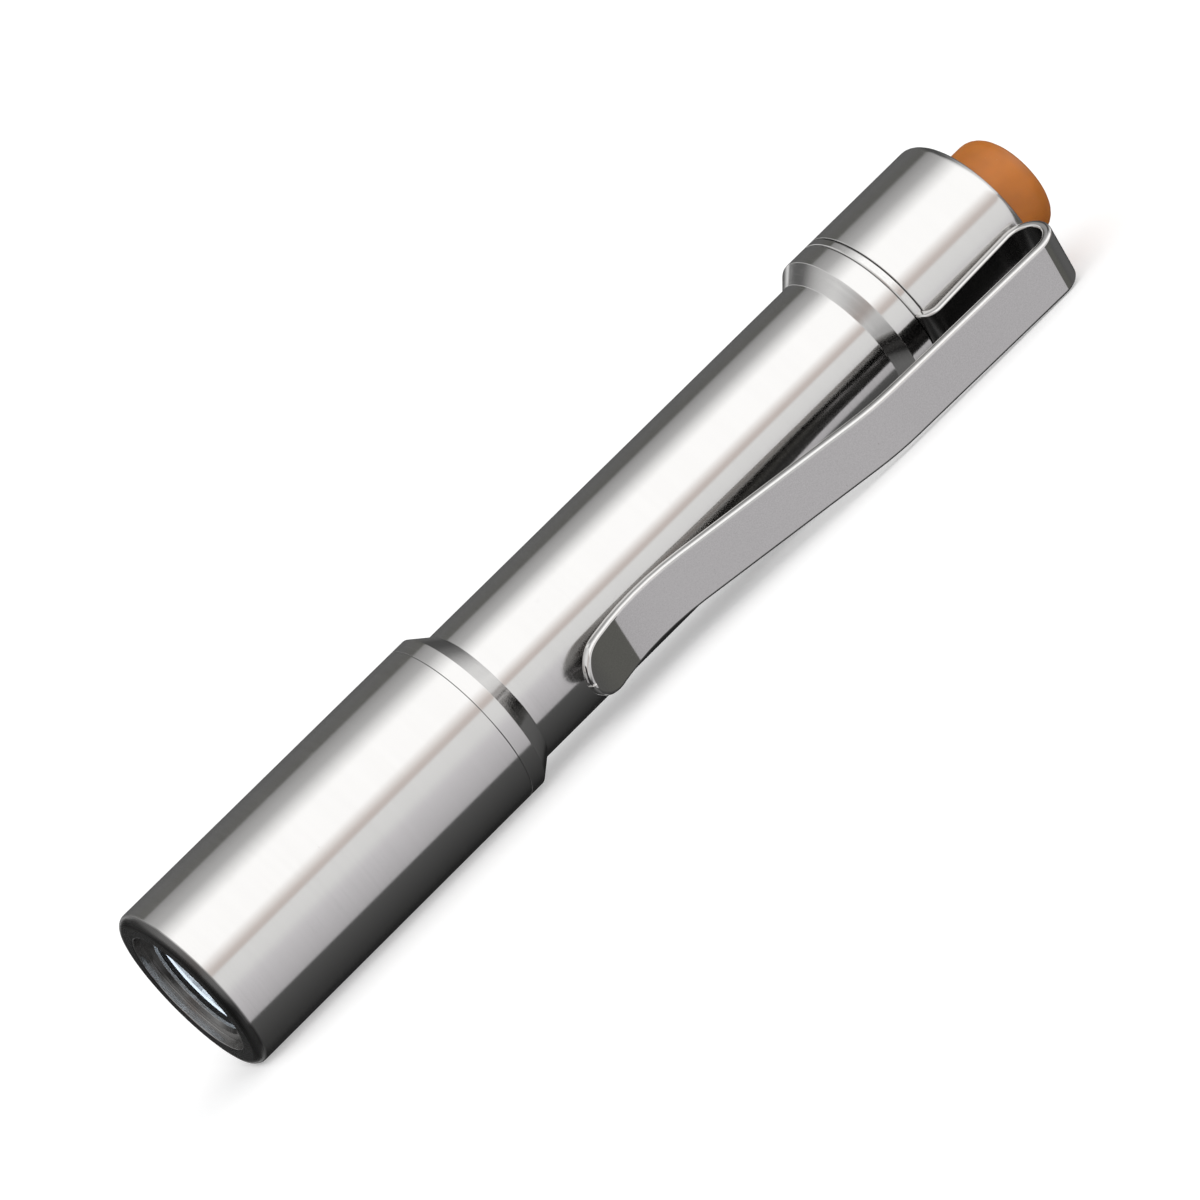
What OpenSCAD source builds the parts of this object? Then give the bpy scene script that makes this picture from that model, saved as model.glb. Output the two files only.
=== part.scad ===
// Pocket flashlight of turned stainless steel for one cylindrical cell.
// It lies on its side on a surface: the light points along -X, the push button along +X.
// The clip leans down to the -Y side and its lower corner touches the surface.

/* [Battery] */
// Diameter of the cell over its jacket
cell_d = 10.5; // [10:0.1:11]
// Length of the cell with its raised contact
cell_len = 44.5; // [42:0.5:46]
// Diameter of the cell's raised contact
nub_d = 3.8; // [3:0.1:4.6]
// Height of the cell's raised contact
nub_len = 1; // [0.8:0.1:1.4]
// Thickness of the cell's plastic jacket
jacket_t = 0.2; // [0.1:0.05:0.3]
// Bare rim of the can at each end of the jacket
jacket_rim = 0.35; // [0.2:0.05:0.6]
// Thickness of the insulating washer round the raised contact
insulator_t = 0.3; // [0.2:0.05:0.5]

/* [Body tube] */
// Clearance round the cell in the tube
cell_gap = 0.15; // [0.1:0.05:0.3]
// Wall of the slim tube
tube_wall = 0.5; // [0.4:0.05:0.7]
// Length of the slim tube between its two cones
tube_len = 37.4; // [34:0.2:42]
// Wall of the two threaded necks
neck_wall = 0.8; // [0.7:0.05:1]
// Wall of the head and of the tail cap over their threads
shell_wall = 0.75; // [0.6:0.05:1]
// Length of the collar behind the head
front_collar_len = 1.3; // [1:0.1:2]
// Length of the cone from the front collar to the slim tube
front_cone_len = 1.45; // [1:0.05:2.2]
// Length of the cone from the slim tube to the rear collar
rear_cone_len = 1.2; // [0.8:0.05:2]
// Length of the collar in front of the clip
rear_collar_len = 1.85; // [1.2:0.05:2.6]
// Length of the neck inside the head
front_neck_len = 5.3; // [5:0.1:6.4]
// Small chamfer on the edges of collars, necks and seams
edge_chamfer = 0.12; // [0.05:0.01:0.2]

/* [Seals and threads] */
// Radial running clearance of the two screw threads
thread_gap = 0.05; // [0.02:0.01:0.09]
// Depth of the sealing ring grooves in the necks
groove_depth = 0.45; // [0.35:0.05:0.5]
// Width of the sealing ring grooves
groove_w = 0.7; // [0.6:0.05:1]
// Thickness of the sealing rings
o_ring_t = 0.46; // [0.36:0.02:0.48]
// Distance from a groove's middle to the mouth of the bore over it
groove_inset = 1.1; // [0.8:0.1:1.6]

/* [Head] */
// Length of the head from its bezel to the seam
head_len = 27.3; // [26:0.1:31]
// Diameter of the lens
lens_d = 11; // [10.4:0.1:11.8]
// Clearance round the lens and reflector in the head's bore
lens_gap = 0.1; // [0.04:0.02:0.2]
// Thickness of the lens
lens_t = 1.2; // [0.8:0.1:2]
// Radius of the shallow mouth in the bezel
mouth_r = 5.3; // [4.9:0.05:5.8]
// Depth of the shallow mouth in the bezel
mouth_depth = 0.7; // [0.4:0.05:1.2]
// Radius of the window in the lip that holds the lens
window_r = 4.2; // [3.8:0.05:4.6]
// Thickness of the lip that holds the lens
lip_t = 0.5; // [0.4:0.05:0.9]
// Chamfer round the front edge of the bezel
bezel_chamfer = 0.25; // [0.1:0.05:0.5]
// Thickness of the seal in front of the lens
lens_seal_t = 0.35; // [0.2:0.05:0.6]
// Length of the reflector
reflector_len = 8.8; // [7.5:0.1:9.6]
// Wall of the reflector's bowl
reflector_wall = 0.5; // [0.3:0.05:0.8]
// Radius of the hole at the bottom of the reflector
reflector_throat_r = 1.75; // [1.5:0.05:2.1]
// Length of the reflector's full-width flange
reflector_flange_len = 1.6; // [1:0.1:2.4]

/* [Light engine] */
// Side of the square light emitter
led_side = 3.45; // [2.8:0.05:3.6]
// Thickness of the light emitter's base
led_t = 0.6; // [0.4:0.05:0.7]
// Radius of the emitter's clear dome
led_dome_r = 1.3; // [1:0.05:1.4]
// Thickness of the insulating gasket round the emitter
led_gasket_t = 0.7; // [0.6:0.05:1]
// Radius of the insulating gasket
led_gasket_r = 3.4; // [3:0.1:4]
// Thickness of the emitter's metal board
led_board_t = 1.2; // [1:0.1:1.6]
// Thickness of the heat sink's front wall
sink_face_t = 1.4; // [1:0.1:2]
// Wall of the heat sink's rear rim
sink_wall = 0.75; // [0.6:0.05:1]
// Width of the step that carries the driver board
driver_step = 0.45; // [0.3:0.05:0.7]
// Thickness of the driver board
driver_board_t = 1; // [0.8:0.1:1.2]
// Thickness of the threaded ring behind the driver board
driver_ring_t = 1; // [0.8:0.1:1.3]
// Radial width of the threaded ring behind the driver board
driver_ring_w = 1; // [0.7:0.1:1.4]
// Height of the contact on the driver board
driver_contact_len = 1.5; // [1.3:0.1:1.8]
// Radius of the contact on the driver board
driver_contact_r = 1.6; // [1.2:0.1:2]
// Radius of the two wires over their insulation
wire_r = 0.35; // [0.25:0.05:0.45]
// Height of the coil on the driver board
inductor_h = 1.4; // [1:0.1:1.8]
// Radius of the coil on the driver board
inductor_r = 1.2; // [0.9:0.1:1.4]
// Height of the chip on the driver board
chip_h = 0.9; // [0.6:0.1:1.2]
// Side of the chip on the driver board
chip_side = 2.2; // [1.6:0.1:2.4]
// Distance of the coil and the chip from the driver board's middle
part_gap = 0.3; // [0.2:0.05:0.4]

/* [Tail cap] */
// Length of the tail cap
cap_len = 10.5; // [10:0.1:13]
// Thickness of the tail cap's end wall
cap_end_t = 0.9; // [0.7:0.05:1.3]
// Rounding of the tail cap's rear edge
cap_fillet = 0.8; // [0.3:0.05:0.85]
// Thickness of the boot's clamped flange
boot_flange_t = 0.9; // [0.7:0.05:1.2]
// Length of the spacer between the boot and the switch board
spacer_len = 2.4; // [2.2:0.1:3]
// Radial width of the spacer
spacer_w = 1.1; // [0.8:0.05:1.4]
// Thickness of the switch board
switch_board_t = 0.8; // [0.6:0.05:1]
// Thickness of the threaded ring in front of the switch board
switch_ring_t = 0.8; // [0.6:0.05:1.2]
// Radial width of the threaded ring in front of the switch board
switch_ring_w = 1.5; // [1:0.1:1.8]
// Clearance between the neck's end and the threaded ring
neck_end_gap = 0.1; // [0.05:0.05:0.3]

/* [Switch and button] */
// Radius of the push button
button_r = 4.33; // [4:0.05:4.6]
// How far the push button stands out of the tail cap
button_proud = 4.3; // [3.5:0.1:5]
// Rounding of the push button's end
button_round = 1.7; // [1:0.1:2.2]
// Travel of the push button
button_travel = 1.5; // [1:0.1:1.6]
// Clearance round the push button in the tail cap
button_gap = 0.12; // [0.08:0.02:0.3]
// Side wall of the hollow push button
boot_wall = 0.9; // [0.7:0.05:1]
// End wall of the hollow push button
boot_end_t = 1.2; // [0.9:0.1:1.6]
// Radius of the switch housing
switch_r = 3.1; // [2.6:0.05:3.2]
// Height of the switch housing
switch_h = 3; // [2.8:0.1:3.4]
// Radius of the switch's plunger
plunger_r = 1.6; // [1.2:0.05:2]
// Running clearance round the switch's plunger
plunger_gap = 0.04; // [0.02:0.01:0.08]
// Length of the plunger held in the switch housing
plunger_hold = 0.9; // [0.7:0.05:1.1]
// Thickness of the switch spring's wire
spring_wire = 0.6; // [0.5:0.05:0.8]
// Number of turns of the spring
spring_turns = 5; // [4:1:6]
// Radius of the spring at the switch board
spring_base_r = 3.8; // [3.2:0.1:4]
// Radius of the spring at the cell
spring_tip_r = 3.1; // [2.4:0.1:3.6]

/* [Clip] */
// Thickness of the clip's sheet
clip_t = 0.75; // [0.6:0.05:1]
// Width of the clip
clip_w = 4.6; // [3.6:0.05:5]
// Least clearance of the clip's leg over the tail cap
clip_leg_gap = 0.06; // [0.03:0.01:0.2]
// Clearance of the clip's washer round the neck
washer_gap = 0.12; // [0.05:0.01:0.3]
// Inside radius of the bend from the washer to the leg
tab_bend_r = 0.65; // [0.3:0.05:0.65]
// Lean of the clip's inner leg towards the body
tab_lean = 2.5; // [0:0.1:3]
// How far the clip's loop stays in front of the tail cap's end
loop_setback = 0.05; // [0:0.05:1]
// Clear height of the slot inside the clip's loop
loop_slot = 3; // [2:0.05:3.4]
// Lean of the clip's straight outer leg towards the body
leg_lean = 1.7; // [0:0.1:3]
// Length of the clip's straight outer leg
outer_leg_len = 15.2; // [13:0.1:18]
// Slope of the blade towards the tube
blade_slope = 13.1; // [10:0.1:16]
// Middle radius of the bend between the outer leg and the blade
knee_r = 20; // [5:0.5:30]
// Middle radius of the bend where the blade touches the tube
toe_r = 17.8; // [10:0.2:24]
// Clearance between the blade and the tube
toe_gap = 0.02; // [0.02:0.01:0.1]
// Angle at which the blade's tip turns up
tip_angle = 23.5; // [12:0.5:28]

/* [Fits] */
// Clearance between flat faces that turn or press on each other
face_gap = 0.03; // [0.02:0.01:0.05]
// Clearance between round pieces that are seated in one another
seat_gap = 0.02; // [0.01:0.01:0.05]
// Clearance round pieces that drop into a hole
drop_gap = 0.05; // [0.03:0.01:0.1]

/* [Hidden] */
$fn = 72;

// Steps of curves in degrees, and slack by which cutting shapes overrun
arc_step = 6;
slack = 1;

// Radii, from the cell outwards
bore_r = cell_d / 2 + cell_gap;
tube_r = bore_r + tube_wall;
neck_r = bore_r + neck_wall;
thread_r = neck_r + thread_gap;
body_r = thread_r + shell_wall;
groove_r = neck_r - groove_depth;
o_ring_mid_r = groove_r + seat_gap / 2 + o_ring_t / 2;
head_bore_r = lens_d / 2 + lens_gap;
engine_r = head_bore_r - lens_gap / 2;
reflector_mouth_r = window_r + reflector_wall / 2;
driver_bore_r = engine_r - sink_wall;
driver_r = driver_bore_r - seat_gap;
sink_hollow_r = driver_bore_r - driver_step;
wire_place_r = sink_hollow_r - wire_r - driver_step;
module_r = thread_r - thread_gap;
cap_hole_r = button_r + button_gap;

// Places along the axis, from the bezel backwards
lens_seal_z = mouth_depth + lip_t;
lens_z = lens_seal_z + lens_seal_t;
reflector_z = lens_z + lens_t;
led_gasket_z = reflector_z + reflector_len;
led_board_z = led_gasket_z + led_gasket_t;
sink_z = led_board_z + led_board_t;
neck_z = head_len - front_neck_len;
sink_end_z = neck_z - face_gap;
driver_ring_z = sink_end_z - driver_ring_t;
driver_board_z = driver_ring_z - driver_board_t;
cell_z = driver_ring_z + driver_contact_len + face_gap;
cell_end_z = cell_z + cell_len;
collar_z = head_len + face_gap;
front_cone_z = collar_z + front_collar_len;
tube_z = front_cone_z + front_cone_len;
rear_cone_z = tube_z + tube_len;
rear_collar_z = rear_cone_z + rear_cone_len;
washer_z = rear_collar_z + rear_collar_len + face_gap;
cap_z = washer_z + clip_t + face_gap;
cap_end_z = cap_z + cap_len;
front_groove_z = head_len - groove_inset;
rear_groove_z = cap_z + groove_inset;
cap_wall_z = cap_end_z - cap_end_t;
boot_flange_z = cap_wall_z - boot_flange_t;
spacer_z = boot_flange_z - spacer_len;
switch_board_z = spacer_z - switch_board_t;
switch_ring_z = switch_board_z - switch_ring_t;
neck_end_z = switch_ring_z - neck_end_gap;
switch_top_z = spacer_z + switch_h;
button_end_z = cap_end_z + button_proud;
button_hollow_z = button_end_z - boot_end_t;
button_skirt_z = boot_flange_z + button_gap;
plunger_z = switch_top_z - plunger_hold;
plunger_floor_z = plunger_z - button_travel - button_gap;

// The clip's path, as the middle line of its sheet
leg_r = body_r + clip_leg_gap + clip_t / 2;
loop_r = (loop_slot + clip_t) / 2;
tab_mid_r = tab_bend_r + clip_t / 2;
washer_mid_z = washer_z + clip_t / 2;
loop_top_z = cap_end_z - loop_setback;
loop_mid_z = loop_top_z - clip_t / 2 - loop_r;
tab_rise = loop_mid_z - washer_mid_z - tab_mid_r - (tab_mid_r + loop_r) * sin(tab_lean);
tab_len = tab_rise / cos(tab_lean);
tab_start_r = leg_r + loop_r * (1 - cos(tab_lean)) + tab_len * sin(tab_lean) - tab_mid_r * cos(tab_lean);
clip_top_r = leg_r + 2 * loop_r + clip_t / 2;
knee_start_r = leg_r + loop_r * (1 + cos(leg_lean)) - outer_leg_len * sin(leg_lean);
knee_end_r = knee_start_r - knee_r * (cos(leg_lean) - cos(blade_slope));
toe_mid_r = tube_r + toe_gap + clip_t / 2;
toe_start_r = toe_mid_r + toe_r * (1 - cos(blade_slope));
blade_len = (knee_end_r - toe_start_r) / sin(blade_slope);
tab_start = [tab_start_r, washer_mid_z];
BASE_PATH = [
    ["turn", tab_mid_r, 90 + tab_lean],
    ["line", tab_len],
    ["turn", loop_r, -90 - tab_lean]
];
BLADE_PATH = [
    ["turn", loop_r, -90 - leg_lean],
    ["line", outer_leg_len],
    ["turn", knee_r, leg_lean - blade_slope],
    ["line", blade_len],
    ["turn", toe_r, blade_slope + tip_angle]
];
blade_start = [leg_r + loop_r, loop_mid_z + loop_r];
BLADE = walk(blade_start, 0, BLADE_PATH);
tip_z = BLADE[len(BLADE) - 1][0][1];

// The lying pose: the clip's outer corner comes down level with the round body
clip_half_w = clip_w / 2;
clip_corner_r = sqrt(pow(clip_top_r, 2) + pow(clip_half_w, 2));
clip_angle = acos(body_r / clip_corner_r) + atan(clip_half_w / clip_top_r);
clip_reach = clip_top_r * sin(clip_angle) + clip_half_w * cos(clip_angle);

// The spring's helix: middle points, with 8 rings to a turn and 6 sides
RINGS = 8;
SIDES = 6;
spring_low_z = cell_end_z + face_gap + spring_wire / 2;
spring_high_z = switch_board_z - seat_gap - spring_wire / 2;
spring_steps = spring_turns * RINGS;
SPRING = [for (i = [0 : spring_steps]) spring_point(i / spring_steps)];
spring_least_gap = min([for (i = [0 : spring_steps - RINGS])
    norm(SPRING[i + RINGS] - SPRING[i]) - spring_wire]);
echo(spring_least_gap = spring_least_gap);

function spring_point(u) =
    let (r = spring_tip_r + (spring_base_r - spring_tip_r) * u)
    let (a = 360 * spring_turns * u)
    [r * cos(a), r * sin(a), spring_low_z + (spring_high_z - spring_low_z) * u];

// Points of an arc about a centre, from one angle to another
function arc(centre, r, from, to) =
    let (steps = max(1, ceil(abs(to - from) / arc_step)))
    [for (i = [0 : steps]) let (a = from + (to - from) * i / steps)
        centre + r * [cos(a), sin(a)]];

// Stations of a path of lines and turns, each with its place and heading
function walk(at, heading, legs, i = 0) =
    i == len(legs) ? [[at, heading]] :
    legs[i][0] == "line" ?
        concat([[at, heading]],
            walk(at + legs[i][1] * [cos(heading), sin(heading)], heading, legs, i + 1)) :
        concat(turn_stations(at, heading, legs[i][1], legs[i][2]),
            walk(turn_end(at, heading, legs[i][1], legs[i][2]), heading + legs[i][2], legs, i + 1));

function turn_end(at, heading, r, angle) =
    let (side = sign(angle))
    let (centre = at + side * r * [-sin(heading), cos(heading)])
    centre - side * r * [-sin(heading + angle), cos(heading + angle)];

function turn_stations(at, heading, r, angle) =
    let (steps = max(2, ceil(abs(angle) / arc_step)))
    [for (i = [0 : steps - 1]) let (part = angle * i / steps)
        [turn_end(at, heading, r, part == 0 ? sign(angle) * 1e-9 : part), heading + part]];

// One side of the clip's sheet along a list of stations
function sheet_side(stations, off) =
    [for (s = stations) s[0] + off * [-sin(s[1]), cos(s[1])]];

function backwards(list) = [for (i = [len(list) - 1 : -1 : 0]) list[i]];

module placed() {
    translate([-button_end_z / 2, (clip_reach - body_r) / 2, body_r])
        rotate([0, 90, 0])
            rotate([0, 0, -clip_angle])
                children();
}

module ring(outer, inner, from, to) {
    translate([0, 0, from])
        difference() {
            cylinder(r = outer, h = to - from);
            translate([0, 0, -slack])
                cylinder(r = inner, h = to - from + 2 * slack);
        }
}

module disc(r, from, to) {
    translate([0, 0, from])
        cylinder(r = r, h = to - from);
}

module turned(points) {
    rotate_extrude()
        polygon(points);
}

// A strip of the clip's sheet along its path, cut to the clip's width
module sheet(stations) {
    side_a = sheet_side(stations, clip_t / 2);
    side_b = sheet_side(stations, -clip_t / 2);
    rotate([90, 0, 0])
        linear_extrude(height = clip_w, center = true)
            polygon(concat(side_a, backwards(side_b)));
}

module steel() {
    color([0.78, 0.77, 0.75])
        placed()
            children();
}

module head_shell() {
    lip_z = mouth_depth;
    steel()
        turned([
            [mouth_r, 0],
            [body_r - bezel_chamfer, 0],
            [body_r, bezel_chamfer],
            [body_r, head_len - edge_chamfer],
            [body_r - edge_chamfer, head_len],
            [thread_r, head_len],
            [thread_r, neck_z - face_gap],
            [head_bore_r, neck_z - face_gap],
            [head_bore_r, lens_seal_z],
            [window_r, lens_seal_z],
            [window_r, lip_z + lip_t / 2],
            [window_r + lip_t / 2, lip_z],
            [mouth_r, lip_z]
        ]);
}

module lens_seal() {
    color([0.08, 0.08, 0.09])
        placed()
            ring(head_bore_r - lens_gap, window_r + lens_gap, lens_seal_z, lens_z);
}

module lens() {
    color([0.85, 0.93, 0.97, 0.4])
        placed()
            disc(lens_d / 2, lens_z, reflector_z);
}

// The bowl's radius grows from its throat to its mouth as a parabola
module reflector() {
    steps = 14;
    throat2 = pow(reflector_throat_r, 2);
    mouth2 = pow(reflector_mouth_r, 2);
    bowl = [for (i = [0 : steps]) let (u = i / steps)
        [sqrt(mouth2 + (throat2 - mouth2) * u), reflector_z + reflector_len * u]];
    foot_r = led_gasket_r;
    flange_end_z = reflector_z + reflector_flange_len;
    back = [for (p = bowl) if (p[1] > flange_end_z) [max(p[0] + reflector_wall, foot_r), p[1]]];
    color([0.9, 0.9, 0.92])
        placed()
            turned(concat(
                bowl,
                backwards(back),
                [[reflector_mouth_r + reflector_wall, flange_end_z],
                    [engine_r, flange_end_z],
                    [engine_r, reflector_z]]
            ));
}

module led_gasket() {
    hole = led_side + drop_gap;
    color([0.93, 0.93, 0.9])
        placed()
            difference() {
                disc(led_gasket_r, led_gasket_z, led_board_z);
                translate([-hole / 2, -hole / 2, led_gasket_z - slack])
                    cube([hole, hole, led_gasket_t + 2 * slack]);
            }
}

module led_emitter() {
    base_z = led_board_z - led_t;
    color([0.85, 0.75, 0.35])
        placed() {
            translate([-led_side / 2, -led_side / 2, base_z])
                cube([led_side, led_side, led_t]);
            intersection() {
                translate([0, 0, base_z])
                    sphere(r = led_dome_r);
                disc(2 * led_dome_r, base_z - 2 * led_dome_r, base_z + led_t / 2);
            }
        }
}

module led_board() {
    color([0.86, 0.86, 0.84])
        placed()
            disc(engine_r, led_board_z, sink_z);
}

module wire_places() {
    for (side = [-1, 1])
        translate([0, side * wire_place_r, 0])
            children();
}

module heat_sink() {
    color([0.72, 0.6, 0.35])
        placed()
            difference() {
                disc(engine_r, sink_z, sink_end_z);
                disc(sink_hollow_r, sink_z + sink_face_t, driver_board_z + slack);
                disc(driver_bore_r, driver_board_z, sink_end_z + slack);
                wire_places()
                    disc(wire_r + drop_gap, sink_z - slack, sink_z + sink_face_t + slack);
            }
}

module led_wires() {
    color([0.7, 0.1, 0.08])
        placed()
            wire_places()
                disc(wire_r, sink_z, driver_board_z);
}

module driver_board() {
    color([0.1, 0.35, 0.2])
        placed()
            disc(driver_r, driver_board_z, driver_ring_z);
}

// A wound coil and a chip side by side on the front of the driver board
module driver_parts() {
    color([0.15, 0.15, 0.16])
        placed() {
            translate([-inductor_r - part_gap, 0, 0])
                disc(inductor_r, driver_board_z - inductor_h, driver_board_z);
            translate([part_gap, -chip_side / 2, driver_board_z - chip_h])
                cube([chip_side, chip_side, chip_h]);
        }
}

module driver_ring() {
    color([0.72, 0.6, 0.35])
        placed()
            ring(driver_r, driver_r - driver_ring_w, driver_ring_z, sink_end_z);
}

module driver_contact() {
    color([0.85, 0.65, 0.3])
        placed()
            disc(driver_contact_r, driver_ring_z, driver_ring_z + driver_contact_len);
}

module battery_can() {
    can_r = cell_d / 2 - jacket_t - seat_gap / 2;
    can_z = cell_z + nub_len;
    color([0.75, 0.75, 0.76])
        placed()
            turned([
                [0, cell_z],
                [nub_d / 2 - edge_chamfer, cell_z],
                [nub_d / 2, cell_z + edge_chamfer],
                [nub_d / 2, can_z],
                [can_r - jacket_rim, can_z],
                [can_r, can_z + jacket_rim],
                [can_r, cell_end_z - edge_chamfer],
                [can_r - edge_chamfer, cell_end_z],
                [0, cell_end_z]
            ]);
}

module battery_jacket() {
    color([0.25, 0.28, 0.32])
        placed()
            ring(cell_d / 2, cell_d / 2 - jacket_t, cell_z + nub_len + jacket_rim,
                cell_end_z - jacket_rim);
}

module battery_insulator() {
    color([0.92, 0.92, 0.9])
        placed()
            ring(cell_d / 2 - jacket_t - 2 * jacket_rim, nub_d / 2 + seat_gap,
                cell_z + nub_len - insulator_t, cell_z + nub_len);
}

// Groove outline in a neck, as three added corners on each side of its middle
function groove(mid_z) = [
    [neck_r, mid_z - groove_w / 2],
    [groove_r, mid_z - groove_w / 2],
    [groove_r, mid_z + groove_w / 2],
    [neck_r, mid_z + groove_w / 2]
];

module body_tube() {
    steel()
        turned(concat(
            [[bore_r, neck_z],
                [neck_r - edge_chamfer, neck_z],
                [neck_r, neck_z + edge_chamfer]],
            groove(front_groove_z),
            [[neck_r, collar_z],
                [body_r - edge_chamfer, collar_z],
                [body_r, collar_z + edge_chamfer],
                [body_r, front_cone_z],
                [tube_r, tube_z],
                [tube_r, rear_cone_z],
                [body_r, rear_collar_z],
                [body_r, washer_z - face_gap - edge_chamfer],
                [body_r - edge_chamfer, washer_z - face_gap],
                [neck_r, washer_z - face_gap]],
            groove(rear_groove_z),
            [[neck_r, neck_end_z - edge_chamfer],
                [neck_r - edge_chamfer, neck_end_z],
                [bore_r, neck_end_z]]
        ));
}

module o_ring(mid_z) {
    color([0.1, 0.1, 0.1])
        placed()
            translate([0, 0, mid_z])
                rotate_extrude()
                    translate([o_ring_mid_r, 0])
                        circle(d = o_ring_t);
}

module head_o_ring() {
    o_ring(front_groove_z);
}

module tail_o_ring() {
    o_ring(rear_groove_z);
}

// Washer round the neck, and the tab that bends back to the loop's end
module clip_base() {
    stations = walk(tab_start, 0, BASE_PATH);
    steel() {
        difference() {
            union() {
                disc(body_r, washer_z, washer_z + clip_t);
                translate([0, -clip_half_w, washer_z])
                    cube([tab_start[0], clip_w, clip_t]);
            }
            disc(neck_r + washer_gap, washer_z - slack, washer_z + clip_t + slack);
        }
        sheet(stations);
    }
}

// The blade, whose tip is cut to a half round
module clip_blade() {
    inner_r = toe_mid_r - clip_t;
    depth = clip_top_r + clip_t - inner_r;
    steel()
        intersection() {
            sheet(BLADE);
            translate([inner_r, 0, tip_z + clip_half_w])
                union() {
                    translate([0, -clip_half_w, 0])
                        cube([depth, clip_w, loop_top_z]);
                    rotate([0, 90, 0])
                        cylinder(r = clip_half_w, h = depth);
                }
        }
}

module tail_cap() {
    fillet_centre = [body_r - cap_fillet, cap_end_z - cap_fillet];
    steel()
        turned(concat(
            [[thread_r, cap_z],
                [body_r - edge_chamfer, cap_z],
                [body_r, cap_z + edge_chamfer]],
            arc(fillet_centre, cap_fillet, 0, 90),
            [[cap_hole_r, cap_end_z],
                [cap_hole_r, cap_wall_z],
                [thread_r, cap_wall_z]]
        ));
}

module boot_flange() {
    color([0.72, 0.42, 0.14])
        placed()
            ring(module_r, cap_hole_r, boot_flange_z, cap_wall_z);
}

module switch_spacer() {
    color([0.85, 0.65, 0.3])
        placed()
            ring(module_r, module_r - spacer_w, spacer_z, boot_flange_z);
}

module switch_board() {
    color([0.1, 0.35, 0.2])
        placed()
            disc(module_r, switch_board_z, spacer_z);
}

module switch_housing() {
    color([0.12, 0.12, 0.13])
        placed()
            difference() {
                disc(switch_r, spacer_z, switch_top_z);
                disc(plunger_r + plunger_gap, plunger_floor_z, switch_top_z + slack);
            }
}

module switch_ring() {
    color([0.85, 0.65, 0.3])
        placed()
            ring(module_r, module_r - switch_ring_w, switch_ring_z, switch_board_z);
}

// One unbroken tube swept along the spring's middle points
module tail_spring() {
    last = len(SPRING) - 1;
    points = [for (i = [0 : last])
        let (fore = SPRING[min(i + 1, last)] - SPRING[max(i - 1, 0)])
        let (out = unit([SPRING[i][0], SPRING[i][1], 0]))
        let (up = unit(cross(fore, out)))
        let (side = unit(cross(up, fore)))
        for (k = [0 : SIDES - 1]) let (a = 360 * k / SIDES)
            SPRING[i] + spring_wire / 2 * (cos(a) * side + sin(a) * up)];
    walls = [for (i = [0 : last - 1]) for (k = [0 : SIDES - 1])
        let (a = i * SIDES + k)
        let (b = i * SIDES + (k + 1) % SIDES)
        for (face = [[a, b, b + SIDES], [a, b + SIDES, a + SIDES]]) face];
    front = [for (k = [1 : SIDES - 2]) [0, k + 1, k]];
    rear = [for (k = [1 : SIDES - 2]) [for (corner = [0, k, k + 1]) last * SIDES + corner]];
    color([0.8, 0.72, 0.5])
        placed()
            polyhedron(points, concat(walls, front, rear));
}

function unit(v) = v / norm(v);

module button_boot() {
    round_centre = [button_r - button_round, button_end_z - button_round];
    hollow_r = button_r - boot_wall;
    hollow_round = boot_wall / 2;
    hollow_centre = [hollow_r - hollow_round, button_hollow_z - hollow_round];
    color([0.74, 0.43, 0.15])
        placed()
            turned(concat(
                [[hollow_r, button_skirt_z], [button_r, button_skirt_z]],
                arc(round_centre, button_round, 0, 90),
                [[0, button_end_z], [0, button_hollow_z]],
                backwards(arc(hollow_centre, hollow_round, 0, 90))
            ));
}

module switch_plunger() {
    color([0.9, 0.9, 0.88])
        placed()
            disc(plunger_r, plunger_z, button_hollow_z - seat_gap);
}

head_shell();
lens_seal();
lens();
reflector();
led_gasket();
led_emitter();
led_board();
heat_sink();
led_wires();
driver_board();
driver_parts();
driver_ring();
driver_contact();
battery_can();
battery_jacket();
battery_insulator();
body_tube();
head_o_ring();
tail_o_ring();
clip_base();
clip_blade();
tail_cap();
boot_flange();
switch_spacer();
switch_board();
switch_housing();
switch_ring();
tail_spring();
button_boot();
switch_plunger();
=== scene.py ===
import math
from functools import partialmethod

import bpy
from bpy.props import FloatProperty, FloatVectorProperty, IntProperty, PointerProperty
from mathutils import Matrix, Vector


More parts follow.
